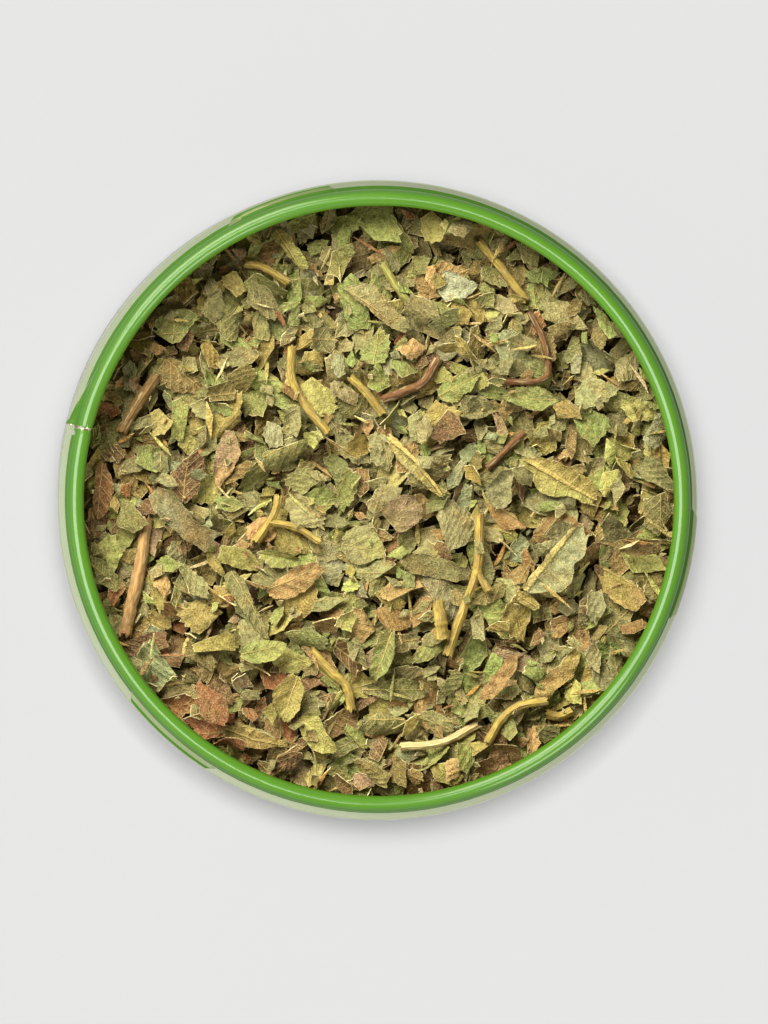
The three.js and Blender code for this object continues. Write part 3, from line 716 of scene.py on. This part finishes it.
def layFlakes(counts, heights, ceiling, pile, random, choices=3, paintedDepthShade=0.0):
    batches = {kind: flakeBatch(kind, count, random) for kind, count in counts.items()}
    order = [(kind, i) for kind, count in counts.items() for i in range(count)]
    random.shuffle(order)
    for kind, i in order:
        batch, k = batches[kind], leafKinds[kind]
        top, under = batch["top"][i], batch["under"][i]
        limit = heap["reach"] - batch["long"][i] * laying["inset"]
        places = []
        for _ in range(choices):
            radius = heap["reach"] * math.sqrt(random.random())
            angle = random.random() * turnOf
            radius = min(radius, limit)
            places.append((radius * math.cos(angle), radius * math.sin(angle)))
        levels = [heights.at(np.array([[x, y]]))[0] for x, y in places]
        x, y = places[int(np.argmin(levels))]
        turned = spin(random.random() * turnOf)
        flat = batch["weights"] @ (top @ turned.T) + [x, y, 0]
        ground = heights.at(flat)
        local = flat[:, :2] - [x, y]
        local = np.column_stack([local, np.ones(len(local))])
        slope = np.linalg.lstsq(local, ground, rcond=None)[0][:2]
        slope = np.clip(slope * laying["follow"], -laying["steepest"], laying["steepest"])
        slope = slope + random.normal(0, math.tan(math.radians(k["tilt"])), 2) * laying["sway"]
        pose = leaning(*slope) @ turned
        samples = batch["weights"] @ (under @ pose.T) + [x, y, 0]
        lift = np.quantile(heights.at(samples) - samples[:, 2], laying["clear"]) + laying["gap"]
        upper = batch["weights"] @ (top @ pose.T) + [x, y, 0]
        room = np.min(ceiling.at(upper) - upper[:, 2])
        if room < lift - laying["sink"]:
            continue
        shift = np.array([x, y, min(lift, room)])
        heights.raiseTo(upper + [0, 0, shift[2]])
        # painted shade: the deeper layers' tones are mixed toward umber
        tone = toneFor(kind, x, y, random) * (1 - paintedDepthShade) + toneOf["umber"] * paintedDepthShade
        pile.add(top @ pose.T + shift, under @ pose.T + shift, batch["faces"], batch["uv"][i], tone, batch["edge"][i])


# The leaf pieces and stem pieces that lie on top, each in the place of its own node

# "up" and "down" are the outline's two sides at seven stations from end to end, in hundredths of half the width,
# and "rib" is where the midrib runs at the start, in the middle and at the end

noRib = (300, 300, 300)  # far outside the outline
leafKeys = ("name", "turn", "long", "wide", "tone", "warm", "up", "down", "rib", "ribWide", "fold", "above")
bigLeaves = [dict(zip(leafKeys, row)) for row in [
    ("leaf_dark_left", -38, 8.8, 3.9, "slate", "brown",
     (35, 60, 50, 40, 15, 30, 50), (-40, -85, -100, -100, -100, -100, -90), noRib),
    ("leaf_broad_top", -32, 8.3, 3.7, "grey", "brown",
     (5, 80, 100, 75, 43, 50, 20), (-5, -15, -25, -38, -50, -55, -35), (0, -12, -42)),
    ("leaf_broad_right", 41, 9.2, 4.6, "sage", "grey",
     (22, 30, 42, 52, 64, 76, 66), (-18, -70, -125, -120, -62, -60, -10), (6, 39, 72), 5.5),
    ("leaf_yellow_right", -29, 9.5, 3.7, "lime", "yellow",
     (12, 60, 85, 98, 98, 88, 35), (-12, -65, -112, -122, -55, -48, -35), (16, 8, 0), 3.6, 0, "olive"),
    ("leaf_dark_centre", -12, 7.8, 2.6, "greyDark", "oliveDark",
     (30, 70, 92, 85, 80, 60, 20), (-30, -75, -90, -92, -85, -80, -50), noRib),
    ("leaf_tan_right", -36, 6.6, 3.7, "olive", "tan",
     (12, 32, 42, 48, 50, 50, 25), (-12, -45, -85, -98, -100, -98, -70), (6, 38, 46), 0.8),
    ("leaf_olive_right", -7, 6.6, 2.1, "oliveDark", "umber",
     (20, 35, 55, 85, 100, 96, 80), (-10, -25, -65, -95, -100, -80, -35), noRib),
    ("leaf_brown_low", -14, 7.4, 3.1, "olive", "brown",
     (12, 35, 55, 40, 22, 15, 8), (-50, -82, -92, -92, -78, -50, -25), (-5, -35, -20), 1.2),
    ("leaf_ribbed_middle", -45, 9, 2.4, "olive", "grey",
     (22, 28, 22, 12, 5, -5, 20), (-30, -85, -100, -100, -98, -90, -45), (4, 2, -45), 3.8),
    ("leaf_long_low", 44, 7.3, 2.4, "olive", "tan",
     (30, 70, 80, 96, 75, 92, 85), (-50, -85, -65, -75, -95, -48, 10), noRib),
    ("leaf_dark_low", 0, 6.9, 2.6, "moss", "greyDark",
     (28, 58, 80, 95, 100, 88, 45), (-28, -52, -72, -90, -100, -98, -60)),
    ("leaf_green_right", 5, 6, 3.3, "green", "grey",
     (92, 100, 96, 100, 98, 65, 15), (45, 5, -28, -52, -70, -32, -5), (60, 20, 0), 0.5),
    ("leaf_purple_left", -100, 6.4, 2.8, "rose", "tan",
     (10, 40, 98, 70, 50, 22, -25), (-60, -80, -98, -100, -98, -88, -55), noRib),
    ("leaf_brown_centre", 31, 6.4, 3.3, "tan", "brown",
     (68, 84, 92, 100, 98, 88, 45), (0, -50, -62, -66, -60, -48, -15), (68, 40, 26), 0.9),
    ("leaf_rolled_left", -60, 8.6, 2.1, "greyDark", "moss",
     (40, 90, 80, 52, 42, 40, 15), (-80, -100, -92, -80, -70, -50, -18), (20, 30, 0), 0.7),
    ("leaf_wedge_low", 44, 6.3, 2.1, "brown", "tan",
     (5, 45, 62, 72, 86, 92, 98), (-10, -85, -100, -98, -70, -55, 30), noRib),
    ("leaf_folded_low", -109, 5.8, 2.4, "green", "moss",
     (20, 62, 92, 100, 88, 52, 5), (-45, -92, -100, -98, -90, -80, -55), (-5, -2, -20), 0.8, 0.55),
    ("leaf_lime_low", -44, 5.3, 3.3, "lime", "yellow",
     (20, 92, 88, 60, 42, 36, 25), (-22, -62, -88, -100, -98, -72, -15), (0, 30, -10), 0.5),
    ("leaf_olive_low", -102, 5.2, 3.3, "olive", "lime",
     (58, 88, 100, 98, 90, 70, 50), (-20, -52, -85, -100, -96, -40, 15), (45, 22, 10), 0.9, 0.3),
    ("leaf_green_low", 16, 5.1, 2.4, "green", "lime",
     (65, 98, 100, 98, 96, 52, 28), (5, -60, -85, -98, -100, -75, -10), (30, 20, 10), 0.6),
    ("leaf_rust_low", -49, 5.3, 3.3, "rust", "umber",
     (38, 50, 60, 82, 92, 60, 8), (0, -42, -72, -92, -100, -88, -45), noRib, 0.8, 0.4),
    ("leaf_rust_left", -95, 6.2, 2.4, "rustDark", "rust",
     (-30, 20, 62, 75, 60, 35, -5), (-70, -98, -100, -100, -100, -95, -55), (-40, -50, -40), 0.8, 0.3),
    ("leaf_ribbed_top", -53, 5.4, 2.2, "lime", "olive",
     (60, 96, 100, 98, 96, 88, 75), (-40, -42, -34, -32, -30, -22, 0), (30, 12, -12), 1.4),
    ("leaf_orange", -25, 5.2, 2.8, "tan", "ochre",
     (75, 72, 60, 46, 30, 14, -5), (30, -25, -80, -100, -98, -60, -30), (66, 36, 2), 1.8),
    ("leaf_green_top", 27, 4.9, 2.6, "green", "lime",
     (50, 75, 82, 80, 70, 40, 10), (-55, -98, -100, -98, -92, -42, -12), (0, 2, 12), 0.7),
    ("leaf_round_centre", -16, 4.8, 4.4, "grey", "lime",
     (42, 82, 100, 98, 80, 50, 10), (-42, -80, -100, -98, -78, -42, -30), (-20, -15, 0), 0.6),
    ("leaf_grey_right", 54, 4.7, 3.1, "slate", "grey",
     (22, 72, 95, 100, 98, 78, 20), (-45, -98, -100, -80, -32, -12, -5), noRib),
    ("leaf_toothed_left", 9, 4.6, 3.7, "green", "moss",
     (50, 78, 90, 100, 98, 88, 45), (-30, -72, -100, -96, -55, -10, 20), (-28, -42, -50), 0.9),
    ("leaf_pale_top", 7, 4.4, 3.7, "pale", "pale",
     (50, 98, 100, 88, 60, 32, 8), (0, -80, -76, -66, -60, -40, -5), noRib),
    ("leaf_speckled", 34, 3.9, 3.9, "rose", "grey",
     (80, 90, 100, 96, 90, 72, 40), (-78, -95, -100, -98, -98, -88, -55), (0, 10, 0), 0.5),
]]
stemKeys = ("name", "tone", "thick", "course", "branch")
bigStems = [dict(zip(stemKeys, row)) for row in [
    ("stem_long_left", "stalkWarm", 1.4, [(-25.5, -2), (-26, -6.5), (-27, -11), (-27.8, -14.6)]),
    ("stem_forked", "stalk", 1, [(7.5, -17), (8.7, -13.4), (10.2, -9.4), (10.9, -6.4), (11, -1.5)],
     [(10.5, -7.2), (11.1, -8.5), (12, -9.9)]),
    ("stem_dark_right", "rustDark", 0.7, [(16.5, 20.6), (18, 17.5), (18.5, 14), (17, 13), (13.5, 13)]),
    ("stem_curved_top", "stalk", 0.9, [(-9.5, 17), (-9.5, 13.5), (-8, 10.5), (-5.5, 7.5)]),
    ("stem_jointed_top", "stalk", 0.9, [(11, 28.5), (13.5, 25.5), (16.2, 22)]),
    ("stem_bent_low", "stalk", 0.9, [(12, -26.5), (13.5, -24), (15.5, -22.5), (18.5, -22)]),
    ("stem_pale_low", "cream", 0.9, [(2.5, -27), (7, -26.5), (11, -24.5)]),
    ("stem_stub", "stalk", 1.4, [(6.5, -11), (6.8, -13), (7, -15)]),
    ("stem_low", "stalk", 1, [(-7.5, -16.5), (-5, -19), (-3.5, -20.5), (-3, -23)]),
    ("stem_low_right", "stalk", 1, [(18.8, -23.7), (20, -23.9), (21.4, -23.4)]),
    ("stem_fork_left", "stalk", 0.9, [(-13.5, -4.5), (-11.5, -1.5), (-11, 0.5)],
     [(-12, -2.3), (-9, -3), (-6.5, -4.5)]),
    ("stem_brown_left", "brown", 1.2, [(-28.3, 7.5), (-26.5, 10.5), (-24.5, 13.5)]),
    ("stem_rust_middle", "rustDark", 1, [(6.5, 15.5), (5, 13), (3, 12), (0.5, 11)]),
    ("stem_rust_right", "rustDark", 0.8, [(16, 7.5), (14, 5.5), (12, 3.5)]),
    ("stem_tan_middle", "stalk", 0.9, [(-3, 13.5), (-1.5, 12), (0.5, 9.5)]),
    ("stem_tan_top", "stalk", 0.9, [(-14.5, 26), (-12.5, 25.5), (-10, 24)]),
    ("stem_olive_top", "lime", 0.9, [(0.5, 26), (2, 23.5), (4, 21)]),
]]
leafSolid = {"thick": 0.6, "stations": 6}  # of the plain leaf pieces that these finer ones stand for
bigForm = {
    "seed": 31,
    "thick": 0.22,  # of a leaf
    "stemLift": 0.35,  # of a stem's middle over its ends
    "stemSides": 20,
    "branchThick": 0.85,  # as a share of its stem's
}


def characterOf(i):
    wave = lambda step, phase: math.sin(step * i + phase)
    return {
        "from": 0.12 + 0.08 * wave(1.7, 0), "to": 0.74 + 0.1 * wave(2.3, 1), "slope": 0.16 + 0.14 * wave(1.1, 2),
        "arch": 0.35 + 0.35 * wave(0.9, 0.5), "teeth": 0.07 + 0.04 * wave(2.9, 0.3), "skew": 0.2 * wave(1.3, 0.8),
        "tilts": (7 * wave(1.9, 2.2), 6 * wave(2.1, 0.7)),
    }


def leafHalfWidth(share):
    return np.sin(np.pi * np.power(share, 0.8)) ** 0.7


def leafPose(turn, tilts):
    a, b, c = (math.radians(v) for v in (tilts[0], tilts[1], turn))
    across = np.array([[1, 0, 0], [0, math.cos(a), -math.sin(a)], [0, math.sin(a), math.cos(a)]])
    along = np.array([[math.cos(b), 0, math.sin(b)], [0, 1, 0], [-math.sin(b), 0, math.cos(b)]])
    return spin(c) @ along @ across


def leafSurface(leaf, c, share, side, tooth):
    # share runs 0 to 1 along the rib and side -1 to 1 across it; both may be arrays
    widest = max(leafHalfWidth(c["from"]), leafHalfWidth(c["to"]), leafHalfWidth((c["from"] + c["to"]) / 2))
    half = leaf["wide"] / 2 / widest * np.maximum(0.16, leafHalfWidth(c["from"] + (c["to"] - c["from"]) * share))
    half = half * (1 + tooth * np.where(side > 0, 1, -0.6))
    x = (share - 0.5) * leaf["long"] + c["skew"] * half * np.abs(side) * np.where(side > 0, 1, -1)
    y = half * side
    rib = c["arch"] * (1 - 4 * (share - 0.5) ** 2)
    z = rib + c["slope"] * np.abs(y) * np.where(side > 0, 1, 0.7) * np.where(side > 0, 1, -1)
    return np.stack([x, y, z], -1)


def coarseBox(leaf, c, pose):  # lowest corner of the plain solid, before it is laid down
    share = np.arange(leafSolid["stations"]) / (leafSolid["stations"] - 1)
    tooth = np.where(np.arange(leafSolid["stations"]) % 2, c["teeth"], -c["teeth"])
    points = np.concatenate([leafSurface(leaf, c, share, np.full(len(share), s), tooth) for s in (1.0, 0.0, -1.0)])
    points = np.concatenate([points, points - [0, 0, leafSolid["thick"]]]) @ pose.T
    return points.min(0)


def gridSolid(top, under):  # closes two matching grids of points into one sheet
    rows, columns = top.shape[:2]
    count = rows * columns
    index = np.arange(count).reshape(rows, columns)
    a, b, c, d = index[:-1, :-1], index[1:, :-1], index[1:, 1:], index[:-1, 1:]
    upper = np.concatenate([np.stack([a, b, c], -1).reshape(-1, 3), np.stack([a, c, d], -1).reshape(-1, 3)])
    loop = np.concatenate([index[0, :-1], index[:-1, -1], index[-1, :0:-1], index[:0:-1, 0]])
    after = np.roll(loop, -1)
    sides = [np.stack([loop, after, after + count], -1), np.stack([loop, after + count, loop + count], -1)]
    faces = np.concatenate([upper, upper[:, ::-1] + count] + sides)
    return np.concatenate([top.reshape(-1, 3), under.reshape(-1, 3)]), faces


def turnOutward(faces, points):  # makes every face of a closed solid point out
    a, b, c = (points[faces[:, i]] for i in range(3))
    volume = np.einsum("ij,ij->", a, np.cross(b, c))
    return faces if volume > 0 else faces[:, ::-1]


def blurredRow(rows, reach):
    kernel = np.ones(2 * reach + 1) / (2 * reach + 1)
    return np.array([np.convolve(np.pad(row, reach, "edge"), kernel, "valid") for row in rows])


def alongStations(values, share):  # smooth run through a leaf's values, in parts of half its width
    stations = np.linspace(0, 1, len(values))
    fine = np.interp(share, stations, values)
    soft = sum(np.interp(np.clip(share + d, 0, 1), stations, values) for d in (-0.06, -0.03, 0.03, 0.06)) / 4
    return (0.75 * fine + 0.25 * soft) / 100


def bigLeafMesh(leaf, i, random):
    c = characterOf(i)
    pose = leafPose(leaf["turn"], c["tilts"])
    low = np.array(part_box(leaf["name"])[0]) / mm
    shift = low - coarseBox(leaf, c, pose)
    rows = max(36, int(leaf["long"] * 7))
    across = np.array([-1, -0.95, -0.82, -0.65, -0.48, -0.3, -0.15, 0, 0.15, 0.3, 0.48, 0.65, 0.82, 0.95, 1])
    share, side = np.meshgrid(np.linspace(0, 1, rows), across, indexing="ij")
    broken = blurredRow(random.normal(0, 0.03, (2, len(across))), 1)
    share = share + broken[0] * (1 - share) ** 8 + broken[1] * share ** 8
    half = leaf["wide"] / 2
    torn = 0.04 * np.cumsum(random.normal(0, 1, (2, rows)), axis=1)
    torn = torn - blurredRow(torn, 12) + random.normal(0, 0.018, (2, rows))
    saw = c["teeth"] * 0.8 * (0.35 - np.abs((np.linspace(0, 1, rows) * leaf["long"] / 0.95 + i * 0.37) % 1 - 0.35))
    upper = alongStations(leaf["up"], share) * half + (torn[0] + saw)[:, None]
    lower = alongStations(leaf["down"], share) * half - (torn[1] + saw)[:, None]
    y = lower + (upper - lower) * (side + 1) / 2
    x = (share - 0.5) * leaf["long"]
    bend = c["arch"] * (1 - 4 * (share - 0.5) ** 2)
    z = bend + c["slope"] * np.abs(y) * np.where(y > 0, 1, -0.7)
    ribAt = np.interp(share, (0, 0.5, 1), np.array(leaf.get("rib", (0, 0, 0))) / 100 * half)
    fromRib = np.abs(y - ribAt)
    veinWave = np.abs(((x - fromRib * 0.75) / 1.35 + 0.15 * np.sin(x * 2 + i)) % 1 - 0.5)
    quilt = 0.13 * np.sqrt(veinWave * 2) * np.clip(fromRib / 0.6, 0, 1)
    ripple = 0.12 * np.sin(x * 1.7 + i) * side ** 2 + 0.08 * np.sin(y * 3.1 + x * 1.3 + 2 * i)
    curl = random.uniform(-0.12, 0.4, 2)
    rolled = curl[0] * np.clip(side, 0, 1) ** 4 * (0.6 + 0.4 * np.sin(x * 1.1 + i))
    rolled = rolled + curl[1] * np.clip(-side, 0, 1) ** 4 * (0.6 + 0.4 * np.cos(x * 0.9 + i))
    ribWide = leaf.get("ribWide", 0.8) * (1.35 - 0.75 * share)
    ribHeight = 0.1 * ribWide * np.exp(-(fromRib / (0.08 * ribWide)) ** 2)
    z = z + quilt + ripple + rolled + np.minimum(ribHeight, 0.3) - 0.16 - leaf.get("fold", 0) * (0.45 - fromRib)
    top = np.stack([x, y, z], -1)
    under = top - [0, 0, bigForm["thick"]]
    points, faces = gridSolid(top, under)
    points = points @ pose.T + shift
    faces = turnOutward(faces, points)
    uv = np.stack([x + 7 * i, (y - ribAt) / np.maximum(ribWide, 0.6)], -1).reshape(-1, 2)
    rim = np.maximum(np.abs(side) > 0.99, (np.arange(rows) % (rows - 1) == 0)[:, None]).astype(float)
    patch = np.clip(0.5 + 0.45 * np.sin(x * 0.8 + i) + 0.35 * np.cos(y * 1.9 + x * 0.6 + 2 * i), 0, 1)
    tone = toneOf[leaf["tone"]] * (1 - patch[..., None] * 0.6) + toneOf[leaf["warm"]] * patch[..., None] * 0.6
    if "above" in leaf:
        tone = np.where((y > ribAt + 0.1)[..., None], toneOf[leaf["above"]], tone)
    return points, faces, np.tile(uv, (2, 1)), np.tile(tone.reshape(-1, 4), (2, 1)), np.tile(rim.reshape(-1), 2)


def smoothCourse(course, steps):
    points = np.array(course, dtype=float)
    ends = [2 * points[0] - points[1], 2 * points[-1] - points[-2]]
    padded = np.vstack([ends[0], points, ends[1]])
    out = []
    for share in np.linspace(0, len(points) - 1, steps):
        i = min(int(share), len(points) - 2)
        t = share - i
        a, b, c, d = padded[i:i + 4]
        second, third = 2 * a - 5 * b + 4 * c - d, 3 * b - a - 3 * c + d
        out.append(0.5 * (2 * b + (c - a) * t + second * t ** 2 + third * t ** 3))
    return np.array(out)


def stemMesh(course, thick, lift, tone, random, level=0.0):
    flat = smoothCourse(course, 16 * len(course))
    steps, sides = len(flat), bigForm["stemSides"]
    share = np.linspace(0, 1, steps)
    middle = np.column_stack([flat, level + lift * np.sin(np.pi * share)])
    along = np.gradient(middle, axis=0)
    along /= np.linalg.norm(along, axis=1, keepdims=True)
    across = np.cross([0, 0, 1.0], along)
    across /= np.linalg.norm(across, axis=1, keepdims=True)
    up = np.cross(along, across)
    angle = (np.arange(sides) + 0.5) / sides * turnOf
    ridges = 1 + 0.1 * np.cos(4 * angle) + 0.06 * np.cos(7 * angle + 1)
    swell = 1 + 0.12 * np.exp(-(share / 0.07) ** 2) + 0.1 * np.exp(-((1 - share) / 0.07) ** 2)
    rough = random.normal(0, 1, (2, steps)).cumsum(1)
    rough = (rough - blurredRow(rough, 8)) * 0.02
    knot = random.uniform(0.25, 0.8)
    swell = swell + 0.05 * np.sin(share * 9 + thick * 7) + rough[0] + 0.1 * np.exp(-((share - knot) / 0.04) ** 2)
    radius = thick / 2 * np.outer(swell, ridges) * 0.9
    middle[:, :2] += across[:, :2] * rough[1][:, None] * thick * 0.5
    ragged = random.normal(0, 0.16, (2, sides)) * thick
    slide = np.outer(share < 0.001, ragged[0]) + np.outer(share > 0.999, ragged[1])
    points = (middle[:, None] + across[:, None] * (radius * np.cos(angle))[..., None]
              + up[:, None] * (radius * np.sin(angle))[..., None] + along[:, None] * slide[..., None])
    hollow = [middle[0] + along[0] * thick * 0.25, middle[-1] - along[-1] * thick * 0.25]
    count = steps * sides
    quads = gridFaces(sides, steps, False)  # columns run along the stem here
    quads = quads % steps * sides + quads // steps
    i = np.arange(sides)
    j = (i + 1) % sides
    last = count - sides
    ends = [np.stack([j, i, np.full(sides, count)], -1),
            np.stack([last + i, last + j, np.full(sides, count + 1)], -1)]
    faces = np.concatenate([quads[:, [0, 1, 2]], quads[:, [0, 2, 3]]] + ends)
    points = np.concatenate([points.reshape(-1, 3), hollow])
    faces = turnOutward(faces, points)
    length = np.linalg.norm(np.diff(flat, axis=0), axis=1).sum()
    uv = np.stack(np.meshgrid(share * length, angle / turnOf, indexing="ij"), -1).reshape(-1, 2)
    uv = np.concatenate([uv, [[0, 0], [length, 0]]]) + [random.random() * 20, 0]
    colours = np.tile(toneOf[tone], (len(points), 1))
    # painted shade: the ends' sunken middle points darker, inside the hollow stem
    colours[-2:] *= [0.45, 0.4, 0.35, 1]
    return points, faces, uv, colours, np.zeros(len(points))


def layPiece(name, form, material):  # makes a named piece and gives back where it lies
    points, faces, uv, tone, edge = form
    piece = newPiece("mint_" + name, points, faces, material, [name])
    dressLeaf(piece, uv, tone, edge)
    return points, faces


def makeBigPieces():
    random = np.random.default_rng(bigForm["seed"])
    leafMaterial = leafFinish("big leaf", ribWidth=0.1, veinStep=1.35, ribShow=0.65, ribTone="#bda75c")
    stemMaterial = stemFinish()
    laid = []
    for i, leaf in enumerate(bigLeaves):
        laid.append(layPiece(leaf["name"], bigLeafMesh(leaf, i, random), leafMaterial))
    lift = bigForm["stemLift"]
    for stem in bigStems:
        parts = [stemMesh(stem["course"], stem["thick"], lift, stem["tone"], random)]
        if "branch" in stem:
            thick = stem["thick"] * bigForm["branchThick"]
            parts.append(stemMesh(stem["branch"], thick, 0, stem["tone"], random, lift))
        low, high = (np.array(corner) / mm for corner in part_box(stem["name"]))
        plan = np.concatenate([p[0] for p in parts])
        shift = (low + high) / 2 - (plan.min(0) + plan.max(0)) / 2
        start = np.cumsum([0] + [len(p[0]) for p in parts])
        faces = np.concatenate([p[1] + start[n] for n, p in enumerate(parts)])
        form = (plan + shift, faces, *(np.concatenate([p[n] for p in parts]) for n in (2, 3, 4)))
        laid.append(layPiece(stem["name"], form, stemMaterial))
    print("big pieces:", len(laid))
    return laid


core = {
    "turns": 180,
    "rings": (0.4, 33.2, 60),  # first, last and how many
    "wall": [(33.3, 70.4), (34.4, 69.6), (34.45, 3.9), (33.8, 3.3), (0.4, 3.3)],  # radius and height
}


def makePackedCore(base):
    finish = Finish("packed mint")
    place = finish.node("TexCoord", out=3)
    broken = finish.node("TexVoronoi", None, {"Vector": place, "Scale": 700.0}, out=1)
    # painted shade: the core is coloured far darker than the leaves, for the shade deep between the flakes
    colour = finish.mix(0.25, "#3a2810", broken, "MULTIPLY")
    colour = finish.mix(finish.noise(place, 900.0), colour, "#4a3a18")
    relief = finish.bump(finish.noise(place, 1500.0), 0.3 * mm)
    material = finish.surface(Base_Color=colour, Roughness=0.95, Normal=relief)
    turn = np.arange(core["turns"]) / core["turns"] * turnOf
    top = turnedPoints(np.linspace(*core["rings"]), 0, turn)
    top[..., 2] = base.at(top)
    points = np.concatenate([top, turnedPoints(*np.array(core["wall"]).T, turn)], 1)
    columns = points.shape[1]
    faces = gridFaces(len(turn), columns, False)
    piece = newPiece("mint_packed_shade", points.reshape(-1, 3), faces, material, ["mint_bed"])
    capEnds(piece, columns)


def spread(points, faces, cuts=3):  # points all over the faces of a mesh
    a, b, c = (points[faces[:, i]] for i in range(3))
    out = [points]
    for m in range(cuts + 1):
        for n in range(cuts + 1 - m):
            out.append((a * m + b * n + c * (cuts - m - n)) / cuts)
    return np.concatenate(out)


def makeHeap(laid):
    random = np.random.default_rng(heap["seed"])
    bed = bedSurface()
    ceiling = Heights(heap["open"])
    tops = Heights(0.0)
    for points, faces in laid:
        cover = spread(points, faces)
        ceiling.lowerTo(cover)
        tops.raiseTo(cover)
    covered = tops.map > 0
    target = np.where(covered, np.minimum(ceiling.map - 0.05, bed.map + heap["rise"]), bed.map)
    target = blurred(target, 60)
    ceiling.map = np.where(covered, ceiling.map - 0.04, heap["open"])
    heights = Heights(0.0)
    heights.map = target - heap["depth"] + blurred(random.normal(0, 0.5, target.shape), 4)
    makePackedCore(heights)
    material = leafFinish("broken leaf", ribWidth=0.12, veinStep=1.1, ribShow=0.5, ribTone="#c0a558")
    for name, counts in heap["layers"].items():
        pile = Pile()
        layFlakes(counts, heights, ceiling, pile, random, paintedDepthShade=heap["paintedDepthShade"].get(name, 0.0))
        pile.piece("mint_flakes_" + name, material)
    middle = (slice(40, 240),) * 2
    print("heap above its target: %.2f" % (blurred(heights.map, 2) - target)[middle].mean())
    heights.map = np.maximum(heights.map, tops.map)
    pile = Pile()
    layFlakes(heap["over"], heights, Heights(heap["open"]), pile, random, choices=1)
    pile.piece("mint_crumbs_over", material)


laidPieces = makeBigPieces()
makeHeap(laidPieces)


# Floor, lights and camera

stage = {"aim": (0.52, -1.19, 80.0), "distance": 1000.0, "lean": (-0.018, 0.012), "frameHeight": 111.6}
floorHalf = 3.0  # metres


def makeFloor():
    finish = Finish("pale floor")
    place = finish.node("TexCoord", out=3)
    faint = finish.noise(place, 6.0)
    colour = finish.mix(faint, "#949495", "#969697")
    material = finish.surface(Base_Color=colour, Roughness=1.0, Specular_IOR_Level=0.0,
                              Emission_Color=(0.99, 0.995, 1, 1), Emission_Strength=0.03)
    mesh = bpy.data.meshes.new("floor")
    corners = [(x * floorHalf, y * floorHalf, 0) for x, y in ((-1, -1), (1, -1), (1, 1), (-1, 1))]
    mesh.from_pydata(corners, [], [(0, 1, 2, 3)])
    mesh.materials.append(material)
    floor = inScene("floor", mesh)
    return floor


def makeLamp(name, azimuth, elevation, distance, size, watts, target=(0, 0, 0.076), colour=(1, 1, 1)):
    lamp = bpy.data.lights.new(name, "AREA")
    lamp.shape = "RECTANGLE"
    lamp.size, lamp.size_y = size
    lamp.energy = watts
    lamp.color = colour
    thing = inScene(name, lamp)
    a, e = math.radians(azimuth), math.radians(elevation)
    offset = Vector((math.cos(a) * math.cos(e), math.sin(a) * math.cos(e), math.sin(e))) * distance
    thing.location = Vector(target) + offset
    thing.rotation_euler = offset.to_track_quat("Z", "Y").to_euler()
    return thing


def makeStudio():
    floor = makeFloor()
    groups = {"mint": [], "tin": [], "floor": [floor]}
    for piece in bpy.context.scene.objects:
        if piece.type == "MESH" and piece is not floor:
            groups["mint" if piece.name.startswith("mint_") else "tin"].append(piece)
    lit = {name: bpy.data.collections.new("lit " + name) for name in groups}
    for name, pieces in groups.items():
        for piece in pieces:
            lit[name].objects.link(piece)
    warm = (1.0, 0.97, 0.94)
    lamps = [
        ("mint", makeLamp("key", 123, 45, 0.8, (0.5, 0.5), 21.2, colour=warm)),
        ("mint", makeLamp("fill", -52, 46, 0.8, (0.3, 0.3), 2.3, colour=warm)),
        ("tin", makeLamp("rim_key", 123, 45, 0.8, (0.45, 0.45), 4.1, colour=(1.0, 0.97, 0.8))),
        ("tin", makeLamp("rim_fill", -52, 46, 0.8, (0.3, 0.3), 1.5)),
        ("tin", makeLamp("rim_panel", 183, 70, 0.5, (0.28, 0.36), 2.0)),
        ("floor", makeLamp("floor_near", 128.7, 87.8, 0.954, (0.05, 0.05), 12.0)),
    ]
    for name, lamp in lamps:
        lamp.light_linking.receiver_collection = lit[name]
    sun = bpy.data.lights.new("floor_wide", "SUN")
    sun.energy = 3.5
    sun.angle = math.radians(7.5)
    above = inScene("floor_wide", sun)
    above.rotation_euler = Vector((-0.004, 0.012, 1)).to_track_quat("Z", "Y").to_euler()
    above.light_linking.receiver_collection = lit["floor"]
    sky = Finish("studio", world=True)
    direction = sky.node("TexCoord")
    level = sky.parts(direction)[2]
    levels = sky.node("CombineXYZ", None, {0: level, 1: level, 2: level})
    steps = {6: levels, 7: (0.3,) * 3, 8: (0.6,) * 3, 9: (0.85,) * 3, 10: (0.31, 0.28, 0.22)}
    settings = {"data_type": "FLOAT_VECTOR", "interpolation_type": "SMOOTHSTEP"}
    upward = sky.node("MapRange", settings, steps, out=1)  # bright low down, dimmer and warmer above
    away = sky.node("VectorMath", {"operation": "DOT_PRODUCT"}, {0: direction, 1: (0.8, 0.6, 0)}, out=1)
    sideways = sky.node("MapRange", None, {0: away, 1: -0.8, 2: 0.8, 3: 1.06, 4: 0.56})  # less at the right
    background = sky.node("Background", None, {0: upward, 1: sideways})
    sky.node("OutputWorld", None, {0: background})
    bpy.context.scene.world = sky.owner
    bpy.context.scene.view_settings.view_transform = "Standard"


def makeCamera():
    camera = bpy.data.cameras.new("camera")
    camera.sensor_fit = "VERTICAL"
    camera.lens = camera.sensor_height * stage["distance"] / stage["frameHeight"]
    camera.clip_end = 20
    thing = inScene("camera", camera)
    offset = Vector((*stage["lean"], 1)) * stage["distance"] * mm
    thing.location = Vector(stage["aim"]) * mm + offset
    thing.rotation_euler = (-stage["lean"][1], stage["lean"][0], 0)
    bpy.context.scene.camera = thing


makeStudio()
makeCamera()
print("stage done")
